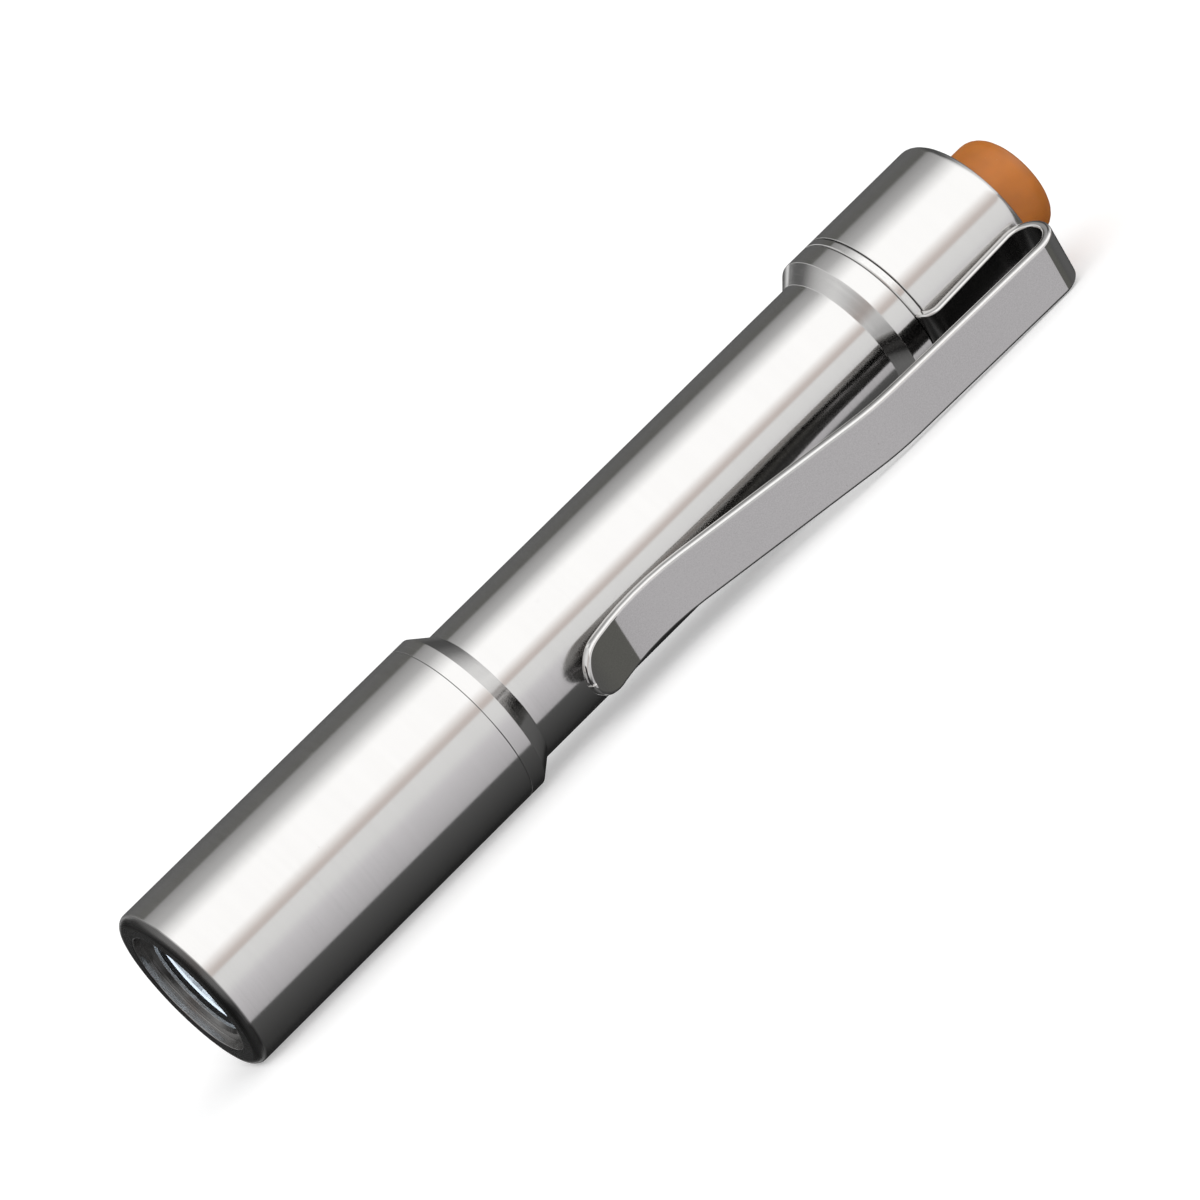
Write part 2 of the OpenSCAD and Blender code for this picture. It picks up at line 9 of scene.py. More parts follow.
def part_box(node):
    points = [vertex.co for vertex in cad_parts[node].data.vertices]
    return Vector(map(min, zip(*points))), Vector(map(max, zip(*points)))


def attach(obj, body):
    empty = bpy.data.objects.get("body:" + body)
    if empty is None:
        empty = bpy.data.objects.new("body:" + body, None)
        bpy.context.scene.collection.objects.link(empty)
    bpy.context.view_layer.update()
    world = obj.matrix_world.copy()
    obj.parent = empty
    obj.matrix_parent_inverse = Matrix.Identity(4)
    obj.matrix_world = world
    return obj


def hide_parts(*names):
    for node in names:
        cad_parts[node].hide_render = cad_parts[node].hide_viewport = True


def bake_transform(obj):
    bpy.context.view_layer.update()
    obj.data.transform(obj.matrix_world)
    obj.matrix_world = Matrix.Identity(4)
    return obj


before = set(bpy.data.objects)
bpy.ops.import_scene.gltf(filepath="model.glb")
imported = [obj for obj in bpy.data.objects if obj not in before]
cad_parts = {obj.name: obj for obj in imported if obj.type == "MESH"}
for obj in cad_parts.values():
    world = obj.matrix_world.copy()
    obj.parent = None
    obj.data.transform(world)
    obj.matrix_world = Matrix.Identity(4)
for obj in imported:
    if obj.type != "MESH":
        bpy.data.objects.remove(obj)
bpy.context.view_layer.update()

bl_info = {
    "name": "Pocket Flashlight Maker",
    "version": (1, 0, 0),
    "blender": (4, 5, 0),
    "location": "View3D > Sidebar > Flashlight",
    "description": "Makes a turned steel pocket flashlight with its clip and optics, and a studio",
    "category": "Object",
}

# Places and radii in millimetres, counted from the bezel along the axis
MM = 0.001
HEAD_LO, HEAD_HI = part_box("head_shell")
BEZEL_X = HEAD_LO.x
AXIS_Y = (HEAD_LO.y + HEAD_HI.y) / 2
AXIS_Z = (HEAD_LO.z + HEAD_HI.z) / 2
BODY_R = (HEAD_HI.z - HEAD_LO.z) / 2 / MM
HEAD_LEN = (HEAD_HI.x - HEAD_LO.x) / MM
# The clip's strip, and the least gap between it and the body
CLIP_T = 0.75
CLIP_W = 4.6
LEG_GAP = 0.06
LEG_R = BODY_R + LEG_GAP + CLIP_T / 2
# The fold: the slot between the two legs, and how far the tab and the outer leg lean
SLOT = 3.0
LOOP_R = (SLOT + CLIP_T) / 2
TAB_LEAN = math.radians(2.5)
LEG_LEAN = math.radians(1.7)
# The body rests on its side with the clip's rim on the floor: the clip's angle below level
CORNER_OUT = LEG_R + 2 * LOOP_R + CLIP_T / 2
CLIP_ANGLE = (math.acos(BODY_R / math.hypot(CORNER_OUT, CLIP_W / 2))
              + math.atan(CLIP_W / 2 / CORNER_OUT))
OUTWARD = Vector((0, -math.sin(CLIP_ANGLE), -math.cos(CLIP_ANGLE)))
ACROSS = Vector((0, math.cos(CLIP_ANGLE), -math.sin(CLIP_ANGLE)))
ALONG = Vector((1, 0, 0))


def place(z, out, across=0.0):
    """A point z millimetres behind the bezel, out towards the clip and across its width."""
    axis = Vector((BEZEL_X + z * MM, AXIS_Y, AXIS_Z))
    return axis + (OUTWARD * out + ACROSS * across) * MM


# Name of the mesh attribute that marks painted shade, which the steels darken: the bezel's face
# and rim, the mouth's wall and the clip's inner side
PAINTED_SHADE_ATTRIBUTE = "painted_shade"


# Settings


class SteelSettings(bpy.types.PropertyGroup):
    """Finish of the turned steel and the clip."""

    colour: FloatVectorProperty(
        name="Steel", description="Reflected colour of the steel", subtype="COLOR",
        size=3, min=0, max=1, default=(0.615, 0.608, 0.6))
    roughness: FloatProperty(
        name="Roughness", description="Roughness of the turned steel", subtype="FACTOR",
        min=0, max=1, default=0.15)
    ring_pitch: FloatProperty(
        name="Ring pitch", description="Spacing of the fine turned rings", unit="LENGTH",
        min=0.00002, max=0.001, default=0.00014)
    segments: IntProperty(
        name="Segments", description="Flats round each turned piece", min=48, max=256,
        default=180)


class ThreadSettings(bpy.types.PropertyGroup):
    """The screw threads on both necks."""

    pitch: FloatProperty(
        name="Pitch", description="Distance from one turn to the next", unit="LENGTH",
        min=0.0004, max=0.001, default=0.0007)
    depth: FloatProperty(
        name="Depth", description="Height of the thread over its root", unit="LENGTH",
        min=0.0001, max=0.0004, default=0.00024)


class ClipSettings(bpy.types.PropertyGroup):
    """The folded pocket clip."""

    edge_round: FloatProperty(
        name="Edge round", description="Rounding along the clip's edges", unit="LENGTH",
        min=0.00005, max=0.0003, default=0.00028)


class ButtonSettings(bpy.types.PropertyGroup):
    """The silicone push button."""

    colour: FloatVectorProperty(
        name="Silicone", description="Colour of the push button", subtype="COLOR",
        size=3, min=0, max=1, default=(0.58, 0.17, 0.007))
    roughness: FloatProperty(
        name="Roughness", description="Roughness of the push button", subtype="FACTOR",
        min=0, max=1, default=0.42)


class StudioSettings(bpy.types.PropertyGroup):
    """Floor, light and camera."""

    clip_view: FloatProperty(
        name="Clip turn", description="Angle of the clip from the camera's side",
        subtype="ANGLE", default=math.radians(35.7))
    roll: FloatProperty(
        name="Roll", description="Roll of the camera about its view", subtype="ANGLE",
        default=math.radians(44.683))
    lens: FloatProperty(
        name="Lens", description="Focal length in millimetres", min=20, max=400,
        default=191.33)
    fill: FloatProperty(
        name="Fill", description="Level of the soft light from all sides", min=0, max=2,
        default=0.85)
    key_power: FloatProperty(
        name="Key light", description="Power of the light overhead", unit="POWER",
        min=0, max=20, default=0.8)


SETTINGS = {
    "flashlight_steel": SteelSettings,
    "flashlight_thread": ThreadSettings,
    "flashlight_clip": ClipSettings,
    "flashlight_button": ButtonSettings,
    "flashlight_studio": StudioSettings,
}


# Nodes


class Nodes:
    """A node tree, with short ways to add, set and join its nodes."""

    def __init__(self, tree):
        self.tree = tree

    def fill(self, inputs, values):
        """Sets each input, by name or place, or joins it where its value is a socket."""
        for key, value in dict(values).items():
            if isinstance(value, bpy.types.NodeSocket):
                self.tree.links.new(value, inputs[key])
            else:
                inputs[key].default_value = value

    def add(self, kind, values=(), **settings):
        made = self.tree.nodes.new(kind)
        for key, value in settings.items():
            setattr(made, key, value)
        self.fill(made.inputs, values)
        return made

    def out(self, kind, values=(), **settings):
        """The first output of a new node."""
        return self.add(kind, values, **settings).outputs[0]

    def maths(self, operation, *values):
        return self.out("ShaderNodeMath", enumerate(values), operation=operation)

    times = partialmethod(maths, "MULTIPLY")
    plus = partialmethod(maths, "ADD")
    minus = partialmethod(maths, "SUBTRACT")
    larger = partialmethod(maths, "MAXIMUM")

    def ranged(self, value, start, end, low=0.0, high=1.0, kind="LINEAR"):
        """A value brought from between start and end to between low and high."""
        return self.out("ShaderNodeMapRange",
                        {"Value": value, "From Min": start, "From Max": end,
                         "To Min": low, "To Max": high}, interpolation_type=kind)

    def vary(self, value, low=0.0, high=1.0):
        """The middle range of a noise brought between two ends."""
        return self.ranged(value, 0.3, 0.7, low, high)

    def step(self, value, start, end):
        """0 before start, 1 after end, and smooth between them."""
        return self.ranged(value, start, end, kind="SMOOTHSTEP")

    def within(self, value, start, rising, falling, end):
        """1 between rising and falling, 0 before start and after end."""
        return self.times(self.step(value, start, rising),
                          self.minus(1.0, self.step(value, falling, end)))

    def mix(self, share, first, second):
        """A mix of two colours."""
        return self.add("ShaderNodeMix", {0: share, 6: first, 7: second},
                        data_type="RGBA").outputs[2]

    def noise(self, place_in, scale, detail=2.0, roughness=0.5):
        return self.out("ShaderNodeTexNoise", {"Vector": place_in, "Scale": scale,
                                               "Detail": detail, "Roughness": roughness})

    def spot(self):
        return self.add("ShaderNodeTexCoord").outputs["Object"]

    def stretched(self, place_in, along, across):
        """A place scaled along the flashlight's axis and across it."""
        return self.out("ShaderNodeVectorMath", {0: place_in, 1: (along, across, across)},
                        operation="MULTIPLY")

    def effect(self, tree, amount):
        """The outputs of a placed effect, whose one input is given."""
        return self.add("ShaderNodeGroup", {0: amount}, node_tree=tree).outputs

    def surface(self, grain_size, marks):
        """The outputs of the fine grain and of the handling marks."""
        return self.effect(fine_grain(), grain_size), self.effect(handling_marks(), marks)

    def scratched(self, rough, marks, share):
        """A roughness that rises in the scratches."""
        return self.plus(rough, self.times(marks["Scratches"], share))

    def painted_shade(self):
        """The share of painted shade at a spot, as marked on the mesh."""
        return self.add("ShaderNodeAttribute", attribute_name=PAINTED_SHADE_ATTRIBUTE).outputs["Fac"]

    def bump(self, height, strength, distance):
        return self.out("ShaderNodeBump",
                        {"Height": height, "Strength": strength, "Distance": distance})


def scaled(colour, share=1.0):
    return (*(channel * share for channel in colour), 1.0)


def effect(name, given, start, wanted):
    """Makes of a function that works out an effect's outputs one that gives its node group."""
    def wrap(build):
        def get():
            tree = bpy.data.node_groups.get(name)
            if tree is None:
                tree = bpy.data.node_groups.new(name, "ShaderNodeTree")
                for label, way in ((given, "INPUT"), *((each, "OUTPUT") for each in wanted)):
                    tree.interface.new_socket(label, in_out=way, socket_type="NodeSocketFloat")
                tree.interface.items_tree[given].default_value = start
                nodes = Nodes(tree)
                amount = nodes.out("NodeGroupInput")
                ends = nodes.add("NodeGroupOutput").inputs
                nodes.fill(ends, zip(wanted, build(nodes, amount)))
            return tree
        return get
    return wrap


@effect("Turned rings", "Pitch", 0.00014, ("Height", "Tone"))
def turned_rings(nodes, pitch):
    """Fine rings that the cutting tool leaves, as a height and a tone."""
    at = nodes.spot()
    spread = nodes.maths("DIVIDE", 1.0, pitch)
    return (nodes.noise(nodes.stretched(at, 1.0, 0.012), spread, 3.0, 0.62),
            nodes.noise(nodes.stretched(at, 1.0, 0.05), 900.0, 1.0))


@effect("Handling marks", "Amount", 0.5, ("Scratches", "Dust"))
def handling_marks(nodes, amount):
    """Hairline scratches and dust, each as a mask."""
    at, lines = nodes.spot(), 0.0
    for turn in (0.35, -0.6, 1.3):
        turned = nodes.out("ShaderNodeMapping", {"Vector": at, "Rotation": (turn, turn, turn)})
        field = nodes.noise(nodes.stretched(turned, 60.0, 1900.0), 1.0, 1.0)
        edge = nodes.maths("ABSOLUTE", nodes.minus(field, 0.5))
        lines = nodes.larger(lines, nodes.maths("LESS_THAN", edge, 0.0025))
    patches = nodes.step(nodes.noise(at, 260.0), 0.52, 0.66)
    specks = nodes.step(nodes.noise(at, 5200.0, 1.0), 0.76, 0.82)
    return nodes.times(nodes.times(lines, patches), amount), nodes.times(specks, amount)


@effect("Fine grain", "Grain size", 0.00008, ("Height", "Tone"))
def fine_grain(nodes, size):
    """Even grain of a tumbled, moulded or cast surface, as a height and a tone."""
    at = nodes.spot()
    return (nodes.noise(at, nodes.maths("DIVIDE", 1.0, size), 2.0, 0.6),
            nodes.noise(at, 420.0))


def finish(name):
    """Makes of a function that works out a shader's inputs one that gives the material."""
    def wrap(build):
        def get():
            made = bpy.data.materials.get(name)
            if made is None:
                made = bpy.data.materials.new(name)
                made.use_nodes = True
                nodes = Nodes(made.node_tree)
                nodes.fill(made.node_tree.nodes["Principled BSDF"].inputs, build(nodes))
            return made
        return get
    return wrap


@finish("satin_turned_steel")
def turned_steel(nodes):
    steel = bpy.context.scene.flashlight_steel
    rings = nodes.effect(turned_rings(), steel.ring_pitch)
    marks = nodes.effect(handling_marks(), 0.35)
    tone = nodes.mix(rings["Tone"], scaled(steel.colour, 0.985), scaled(steel.colour, 1.015))
    worn = nodes.mix(marks["Dust"], tone, (0.5, 0.48, 0.45, 1.0))
    # Painted shade where the mesh marks it, on the bezel's face and rim and the mouth's wall: a
    # darker colour, and a little rougher
    painted_shade_share = nodes.painted_shade()
    rough = nodes.plus(nodes.times(painted_shade_share, 0.12), nodes.vary(
        rings["Height"], steel.roughness * 0.8, steel.roughness * 1.25))
    return {
        "Base Color": nodes.mix(painted_shade_share, worn, scaled(steel.colour, 0.22)),
        "Roughness": nodes.scratched(rough, marks, 0.25), "Metallic": 1.0,
        "Tangent": nodes.out("ShaderNodeTangent", direction_type="RADIAL", axis="X"),
        "Anisotropic": 0.9, "Anisotropic Rotation": 0.25,
        "Normal": nodes.bump(rings["Height"], 0.22, 0.0000015)}


@finish("tumbled_clip_steel")
def clip_steel(nodes):
    steel = bpy.context.scene.flashlight_steel
    grain, marks = nodes.surface(0.0001, 0.4)
    tone = nodes.mix(nodes.vary(grain["Height"]), scaled(steel.colour, 0.93),
                     scaled(steel.colour, 1.05))
    worn = nodes.mix(marks["Dust"], tone, (0.3, 0.28, 0.26, 1.0))
    # Painted shade on the clip's marked inner side: a darker colour, with a rougher, duller
    # surface there
    painted_shade_share = nodes.painted_shade()
    rough = nodes.plus(nodes.vary(grain["Height"], 0.03, 0.05), nodes.times(painted_shade_share, 0.2))
    return {
        "Base Color": nodes.mix(painted_shade_share, worn, scaled(steel.colour, 0.4)),
        "Roughness": nodes.scratched(rough, marks, 0.2), "Metallic": 1.0,
        "Normal": nodes.bump(grain["Height"], 0.2, 0.0000008)}


def grained(name, dark, light, roughness, metallic=0.0):
    """A moulded, plated or cast finish between two tones, with grain and faint marks."""
    @finish(name)
    def made(nodes):
        grain, marks = nodes.surface(0.00008, 0.3)
        rough = nodes.vary(grain["Height"], roughness * 0.85, roughness * 1.15)
        return {
            "Base Color": nodes.mix(nodes.vary(grain["Tone"]), scaled(dark), scaled(light)),
            "Roughness": nodes.scratched(rough, marks, 0.15), "Metallic": metallic,
            "Normal": nodes.bump(grain["Height"], 0.4, 0.000004)}
    return made()


@finish("soft_amber_silicone")
def silicone(nodes):
    button = bpy.context.scene.flashlight_button
    grain, marks = nodes.surface(0.00009, 0.3)
    tone = nodes.mix(nodes.vary(grain["Tone"]), scaled(button.colour, 0.76),
                     scaled(button.colour, 0.94))
    return {
        "Base Color": nodes.mix(marks["Dust"], tone, (0.62, 0.42, 0.28, 1.0)),
        "Roughness": nodes.vary(grain["Height"], button.roughness * 0.9, button.roughness * 1.1),
        "Specular IOR Level": 0.6, "Subsurface Weight": 0.15,
        "Subsurface Radius": (1.0, 0.35, 0.1), "Subsurface Scale": 0.0008,
        "Normal": nodes.bump(grain["Height"], 0.45, 0.000006)}


@finish("clear_front_glass")
def lens_glass(nodes):
    dust = nodes.effect(handling_marks(), 0.15)["Dust"]
    return {
        "Base Color": nodes.mix(dust, (0.93, 0.97, 1.0, 1.0), (0.8, 0.8, 0.8, 1.0)),
        "Roughness": nodes.times(dust, 0.3), "Transmission Weight": 1.0, "IOR": 1.49}


@finish("mirror_bowl")
def mirror_bowl(nodes):
    grain = nodes.effect(fine_grain(), 0.0005)
    # The bowl's mouth has a faint painted glow, though it is no lamp, and the glow ends this far
    # behind the bezel
    start, end = BEZEL_X + 3.2 * MM, BEZEL_X + 5.2 * MM
    along = nodes.out("ShaderNodeSeparateXYZ", {0: nodes.spot()})
    return {
        "Base Color": nodes.mix(grain["Tone"], (0.86, 0.89, 0.93, 1.0), (0.92, 0.94, 0.97, 1.0)),
        "Roughness": nodes.vary(grain["Height"], 0.04, 0.09), "Metallic": 1.0,
        "Emission Color": nodes.mix(nodes.step(along, start, end), (0.44, 0.47, 0.5, 1.0),
                                    (0.0, 0.0, 0.0, 1.0)),
        "Emission Strength": 1.0, "Normal": nodes.bump(grain["Height"], 0.3, 0.000006)}


# Mesh making


def linked(name, data):
    """A new object in the scene that shows the data."""
    made = bpy.data.objects.new(name, data)
    bpy.context.scene.collection.objects.link(made)
    return made


def make_object(name, points, faces, material, normals=None):
    """A mesh object at the origin. Points are in metres; faces point outwards already."""
    mesh = bpy.data.meshes.new(name)
    mesh.from_pydata(points, [], faces)
    mesh.materials.append(material)
    mesh.shade_smooth()
    mesh.update()
    if normals is not None:
        mesh.normals_split_custom_set_from_vertices(normals)
    return linked(name, mesh)


def rounded_outline(corners):
    """Points and outward normals of a closed outline of (z, r, round) corners in millimetres.
    The solid lies to the right of the way round."""
    made = []
    count = len(corners)
    for i, (z, r, size) in enumerate(corners):
        here = Vector((z, r))
        before = (here - Vector(corners[i - 1][:2])).normalized()
        after = (Vector(corners[(i + 1) % count][:2]) - here).normalized()
        turn = math.atan2(before.x * after.y - before.y * after.x, before.dot(after))
        left = Vector((-before.y, before.x))
        if abs(turn) < 1e-4 or size == 0:
            made.append((z, r, left.x, left.y))
            continue
        start = here - before * (size * math.tan(abs(turn) / 2))
        side = 1 if turn > 0 else -1
        centre = start + left * side * size
        steps = max(2, math.ceil(abs(turn) / math.radians(13)))
        for step in range(steps + 1):
            angle = turn * step / steps
            normal = Vector((left.x * math.cos(angle) - left.y * math.sin(angle),
                             left.x * math.sin(angle) + left.y * math.cos(angle)))
            at = centre - normal * side * size
            made.append((at.x, at.y, normal.x, normal.y))
    return made


def turned_piece(name, corners, material):
    """A piece of revolution about the axis, from its outline, which is either closed or starts
    and ends on the axis."""
    segments = bpy.context.scene.flashlight_steel.segments
    outline = rounded_outline(corners)
    points, normals, rings = [], [], []
    for z, r, along, out in outline:
        if r < 1e-6:
            rings.append([len(points)] * segments)
            points.append((BEZEL_X + z * MM, AXIS_Y, AXIS_Z))
            normals.append((math.copysign(1, along), 0, 0))
            continue
        rings.append(list(range(len(points), len(points) + segments)))
        for k in range(segments):
            a = math.tau * k / segments
            points.append((BEZEL_X + z * MM, AXIS_Y + r * MM * math.cos(a),
                           AXIS_Z + r * MM * math.sin(a)))
            normals.append((along, out * math.cos(a), out * math.sin(a)))
    faces = []
    closed = corners[0][1] > 0
    for a, b in zip(rings, rings[1:] + rings[:1] if closed else rings[1:]):
        for k in range(segments):
            n = (k + 1) % segments
            face = [a[k], b[k], b[n], a[n]]
            face = [v for j, v in enumerate(face) if v != face[j - 1]]
            if len(face) > 2:
                faces.append(face[::-1])
    return make_object(name, points, faces, material, normals)


def mark_painted_shade(piece, shares):
    """Keeps for each vertex its share of painted shade, by which the steels darken it."""
    piece.data.attributes.new(PAINTED_SHADE_ATTRIBUTE, "FLOAT", "POINT").data.foreach_set("value", shares)


def shade_mouth(piece):
    """Marks painted shade on the bezel's face with its rim, and less on the wall of the mouth
    behind it.
    """
    shares, wall_share, face_end = [], 0.55, 0.85 * BEZEL_ROUND
    for spot in piece.data.vertices:
        off = math.hypot(spot.co.y - AXIS_Y, spot.co.z - AXIS_Z) / MM
        depth = (spot.co.x - BEZEL_X) / MM
        if off < MOUTH_R + 0.02 and 0.02 < depth < LIP_Z[1] + 0.1:
            shares.append(wall_share)
        else:
            shares.append(1.0 if depth < face_end else 0.0)
    mark_painted_shade(piece, shares)


def face_out(points, outwards, faces):
    """Turns each face whose corners' outward directions disagree with it."""
    made = []
    for face in faces:
        corners = [Vector(points[v]) for v in face]
        side = (corners[1] - corners[0]).cross(corners[2] - corners[0])
        if len(corners) > 3:
            side += (corners[2] - corners[0]).cross(corners[3] - corners[0])
        mean = sum((Vector(outwards[v]) for v in face), Vector())
        made.append(tuple(face[::-1]) if side.dot(mean) < 0 else tuple(face))
    return made


def block(name, start, end, half, material):
    """A square block about the axis from start to end in metres, with chamfered corners."""
    cut = half * 0.12
    outline = [(half - cut, half), (cut - half, half), (-half, half - cut), (-half, cut - half),
               (cut - half, -half), (half - cut, -half), (half, cut - half), (half, half - cut)]
    points = [(x, AXIS_Y + y, AXIS_Z + z) for x in (start, end) for y, z in outline]
    count = len(outline)
    faces = [tuple(range(count)), tuple(range(count, 2 * count))]
    for k in range(count):
        n = (k + 1) % count
        faces.append((k, n, n + count, k + count))
    middle = Vector(((start + end) / 2, AXIS_Y, AXIS_Z))
    outwards = [Vector(point) - middle for point in points]
    made = make_object(name, points, face_out(points, outwards, faces), material)
    made.data.shade_flat()
    return made


def curve_piece(name, start, end, inputs):
    """A plain mesh from the helix tree, from start to end in millimetres: the modifier's inputs
    are set by identifier, the result is copied and the modifier is gone."""
    tree = helix_tree()
    inputs["Start"] = (BEZEL_X + start * MM, AXIS_Y, AXIS_Z)
    inputs["Length"] = (end - start) * MM
    carrier = linked(name + "_carrier", bpy.data.meshes.new(name + "_carrier"))
    modifier = carrier.modifiers.new("Shape", "NODES")
    modifier.node_group = tree
    for item in tree.interface.items_tree:
        if item.item_type == "SOCKET" and item.in_out == "INPUT" and item.name in inputs:
            modifier[item.identifier] = inputs[item.name]
    bpy.context.view_layer.update()
    graph = bpy.context.evaluated_depsgraph_get()
    mesh = bpy.data.meshes.new_from_object(carrier.evaluated_get(graph), depsgraph=graph)
    if not mesh.polygons:
        raise RuntimeError(f"{name}: its node tree made no faces")
    mesh.name = name
    made = linked(name, mesh)
    bpy.data.objects.remove(carrier)
    return made


# Turn of the thread's profile that puts its narrow crest outwards
CREST_TURN = math.pi / 2


def helix_tree():
    """Geometry nodes that sweep a profile along a helix about the flashlight's axis."""
    name = "Helix about the axis"
    if name in bpy.data.node_groups:
        return bpy.data.node_groups[name]
    tree = bpy.data.node_groups.new(name, "GeometryNodeTree")
    tree.interface.new_socket("Geometry", in_out="OUTPUT", socket_type="NodeSocketGeometry")
    kinds = {"Geometry": "Geometry", "Turns": "Float", "Steps": "Int", "Start radius": "Float",
             "End radius": "Float", "Length": "Float", "Start": "Vector", "Bottom": "Float",
             "Top": "Float", "Height": "Float", "Sides": "Int", "Run out": "Float",
             "Material": "Material"}
    for label, kind in kinds.items():
        tree.interface.new_socket(label, in_out="INPUT", socket_type="NodeSocket" + kind)
    nodes = Nodes(tree)
    given = nodes.add("NodeGroupInput").outputs
    helix = nodes.out("GeometryNodeCurveSpiral", {
        "Resolution": given["Steps"], "Rotations": given["Turns"], "Height": given["Length"],
        "Start Radius": given["Start radius"], "End Radius": given["End radius"]})
    upright = nodes.out("GeometryNodeSetCurveNormal", {"Curve": helix}, mode="Z_UP")
    share = nodes.out("GeometryNodeSplineParameter")
    ends = nodes.maths("MINIMUM", share, nodes.minus(1.0, share))
    fade = nodes.ranged(ends, 0.0, given["Run out"], 0.08, 1.0, "SMOOTHSTEP")
    sized = nodes.out("GeometryNodeSetCurveRadius", {"Curve": upright, "Radius": fade})
    blade = nodes.out("GeometryNodeCurvePrimitiveQuadrilateral", {
        "Bottom Width": given["Bottom"], "Top Width": given["Top"],
        "Height": given["Height"], "Offset": 0.0}, mode="TRAPEZOID")
    crest_out = nodes.out("GeometryNodeTransform",
                          {"Geometry": blade, "Rotation": (0.0, 0.0, CREST_TURN)})
    wire = nodes.out("GeometryNodeCurvePrimitiveCircle",
                     {"Resolution": given["Sides"], "Radius": nodes.times(given["Height"], 0.5)})
    is_wire = nodes.out("FunctionNodeCompare", {0: given["Top"], 1: 0.0}, operation="LESS_EQUAL")
    profile = nodes.out("GeometryNodeSwitch", {"Switch": is_wire, "False": crest_out,
                                               "True": wire}, input_type="GEOMETRY")
    swept = nodes.add("GeometryNodeCurveToMesh",
                      {"Curve": sized, "Profile Curve": profile, "Fill Caps": True})
    if "Scale" in swept.inputs:
        nodes.fill(swept.inputs, {"Scale": fade})
    laid = nodes.out("GeometryNodeTransform", {
        "Geometry": swept.outputs[0], "Translation": given["Start"],
        "Rotation": (0.0, math.pi / 2, 0.0)})
    smooth = nodes.out("GeometryNodeSetShadeSmooth", {"Geometry": laid})
    real = nodes.out("GeometryNodeRealizeInstances", {"Geometry": smooth})
    painted = nodes.out("GeometryNodeSetMaterial",
                        {"Geometry": real, "Material": given["Material"]})
    nodes.add("NodeGroupOutput", {0: painted})
    return tree


# Pieces


def finish_piece(piece, body, slot, *nodes):
    """Rides on its body and stands for its CAD nodes; its slot argument is not used."""
    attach(piece, body)
    if nodes:
        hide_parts(*nodes)
    return piece


# Radii and places of the turned pieces in millimetres, and the gap between faces that meet
FACE_GAP = 0.03
BEZEL_ROUND = 0.7
MOUTH_R, MOUTH_DEPTH = 5.3, 0.7
LIP_R, LIP_Z = 4.2, (0.95, 1.2)
SEAT_R = 5.6
FEMALE_R = 6.25
LENS_R, LENS_Z = 5.5, (1.55, 2.75)
BOWL_R, BOWL_LEN, BOWL_WALL = 4.45, 8.8, 0.5
THROAT_R = 1.75
FLANGE_R, FLANGE_LEN = 5.55, 1.6
THREAD_ROOT = 5.97
NECK_R = 6.2
BORE_R = 5.4
TUBE_R = 5.9
COLLAR_Z = HEAD_LEN + FACE_GAP
CONE_Z = 28.63
TUBE_Z = 30.08
REAR_CONE_Z = 67.48
REAR_COLLAR_Z = 68.68
WASHER_Z = 70.56
CAP_Z = WASHER_Z + CLIP_T + FACE_GAP
CAP_END_Z = 81.84
NECK_FRONT_Z = 22.0
NECK_END_Z = 75.94
CAP_WALL_Z = 80.94
HOLE_R = 4.45
GROOVE_Z = (26.2, 72.44)
GROOVE_R, GROOVE_HALF = 5.75, 0.35
WASHER_HOLE_R = 6.32
BUTTON_R, BUTTON_ROUND = 4.33, 1.5
SKIRT_Z, BUTTON_END_Z = 80.16, 86.14
SPRING_WIRE, SPRING_Z = 0.6, (67.33, 76.52)
SPRING_TURNS, SPRING_R = 5.0, (3.1, 3.8)
# Where the threads start and end, and the widths of their foot and crest over the pitch
THREAD_Z = {"head_thread": (NECK_FRONT_Z + 0.35, GROOVE_Z[0] - 1.15),
            "tail_thread": (GROOVE_Z[1] + 1.05, NECK_END_Z - 0.3)}
ROOT_SHARE, CREST_SHARE = 0.8, 0.18


class FLASHLIGHT_OT_head(bpy.types.Operator):
    """The head's turned shell, with its bezel, lip and a plain bore for the neck's thread"""

    bl_idname = "flashlight.make_head"
    bl_label = "Make Head"

    def execute(self, context):
        end, lip_front, lip_back = HEAD_LEN, *LIP_Z
        corners = [
            (MOUTH_DEPTH, MOUTH_R, 0.05), (0.0, MOUTH_R, 0.1), (0.0, BODY_R, BEZEL_ROUND),
            (end, BODY_R, 0.03), (end, FEMALE_R + 0.08, 0.05), (end - 0.3, FEMALE_R, 0.02),
            (NECK_FRONT_Z, FEMALE_R, 0.02), (NECK_FRONT_Z, SEAT_R, 0.04),
            (lip_back, SEAT_R, 0.04), (lip_back, LIP_R, 0.04), (lip_front, LIP_R, 0.05),
            (MOUTH_DEPTH, LIP_R + 0.25, 0.05),
        ]
        shell = turned_piece("head_barrel", corners, turned_steel())
        shade_mouth(shell)
        finish_piece(shell, "head", "satin_steel", "head_shell")
        return {"FINISHED"}


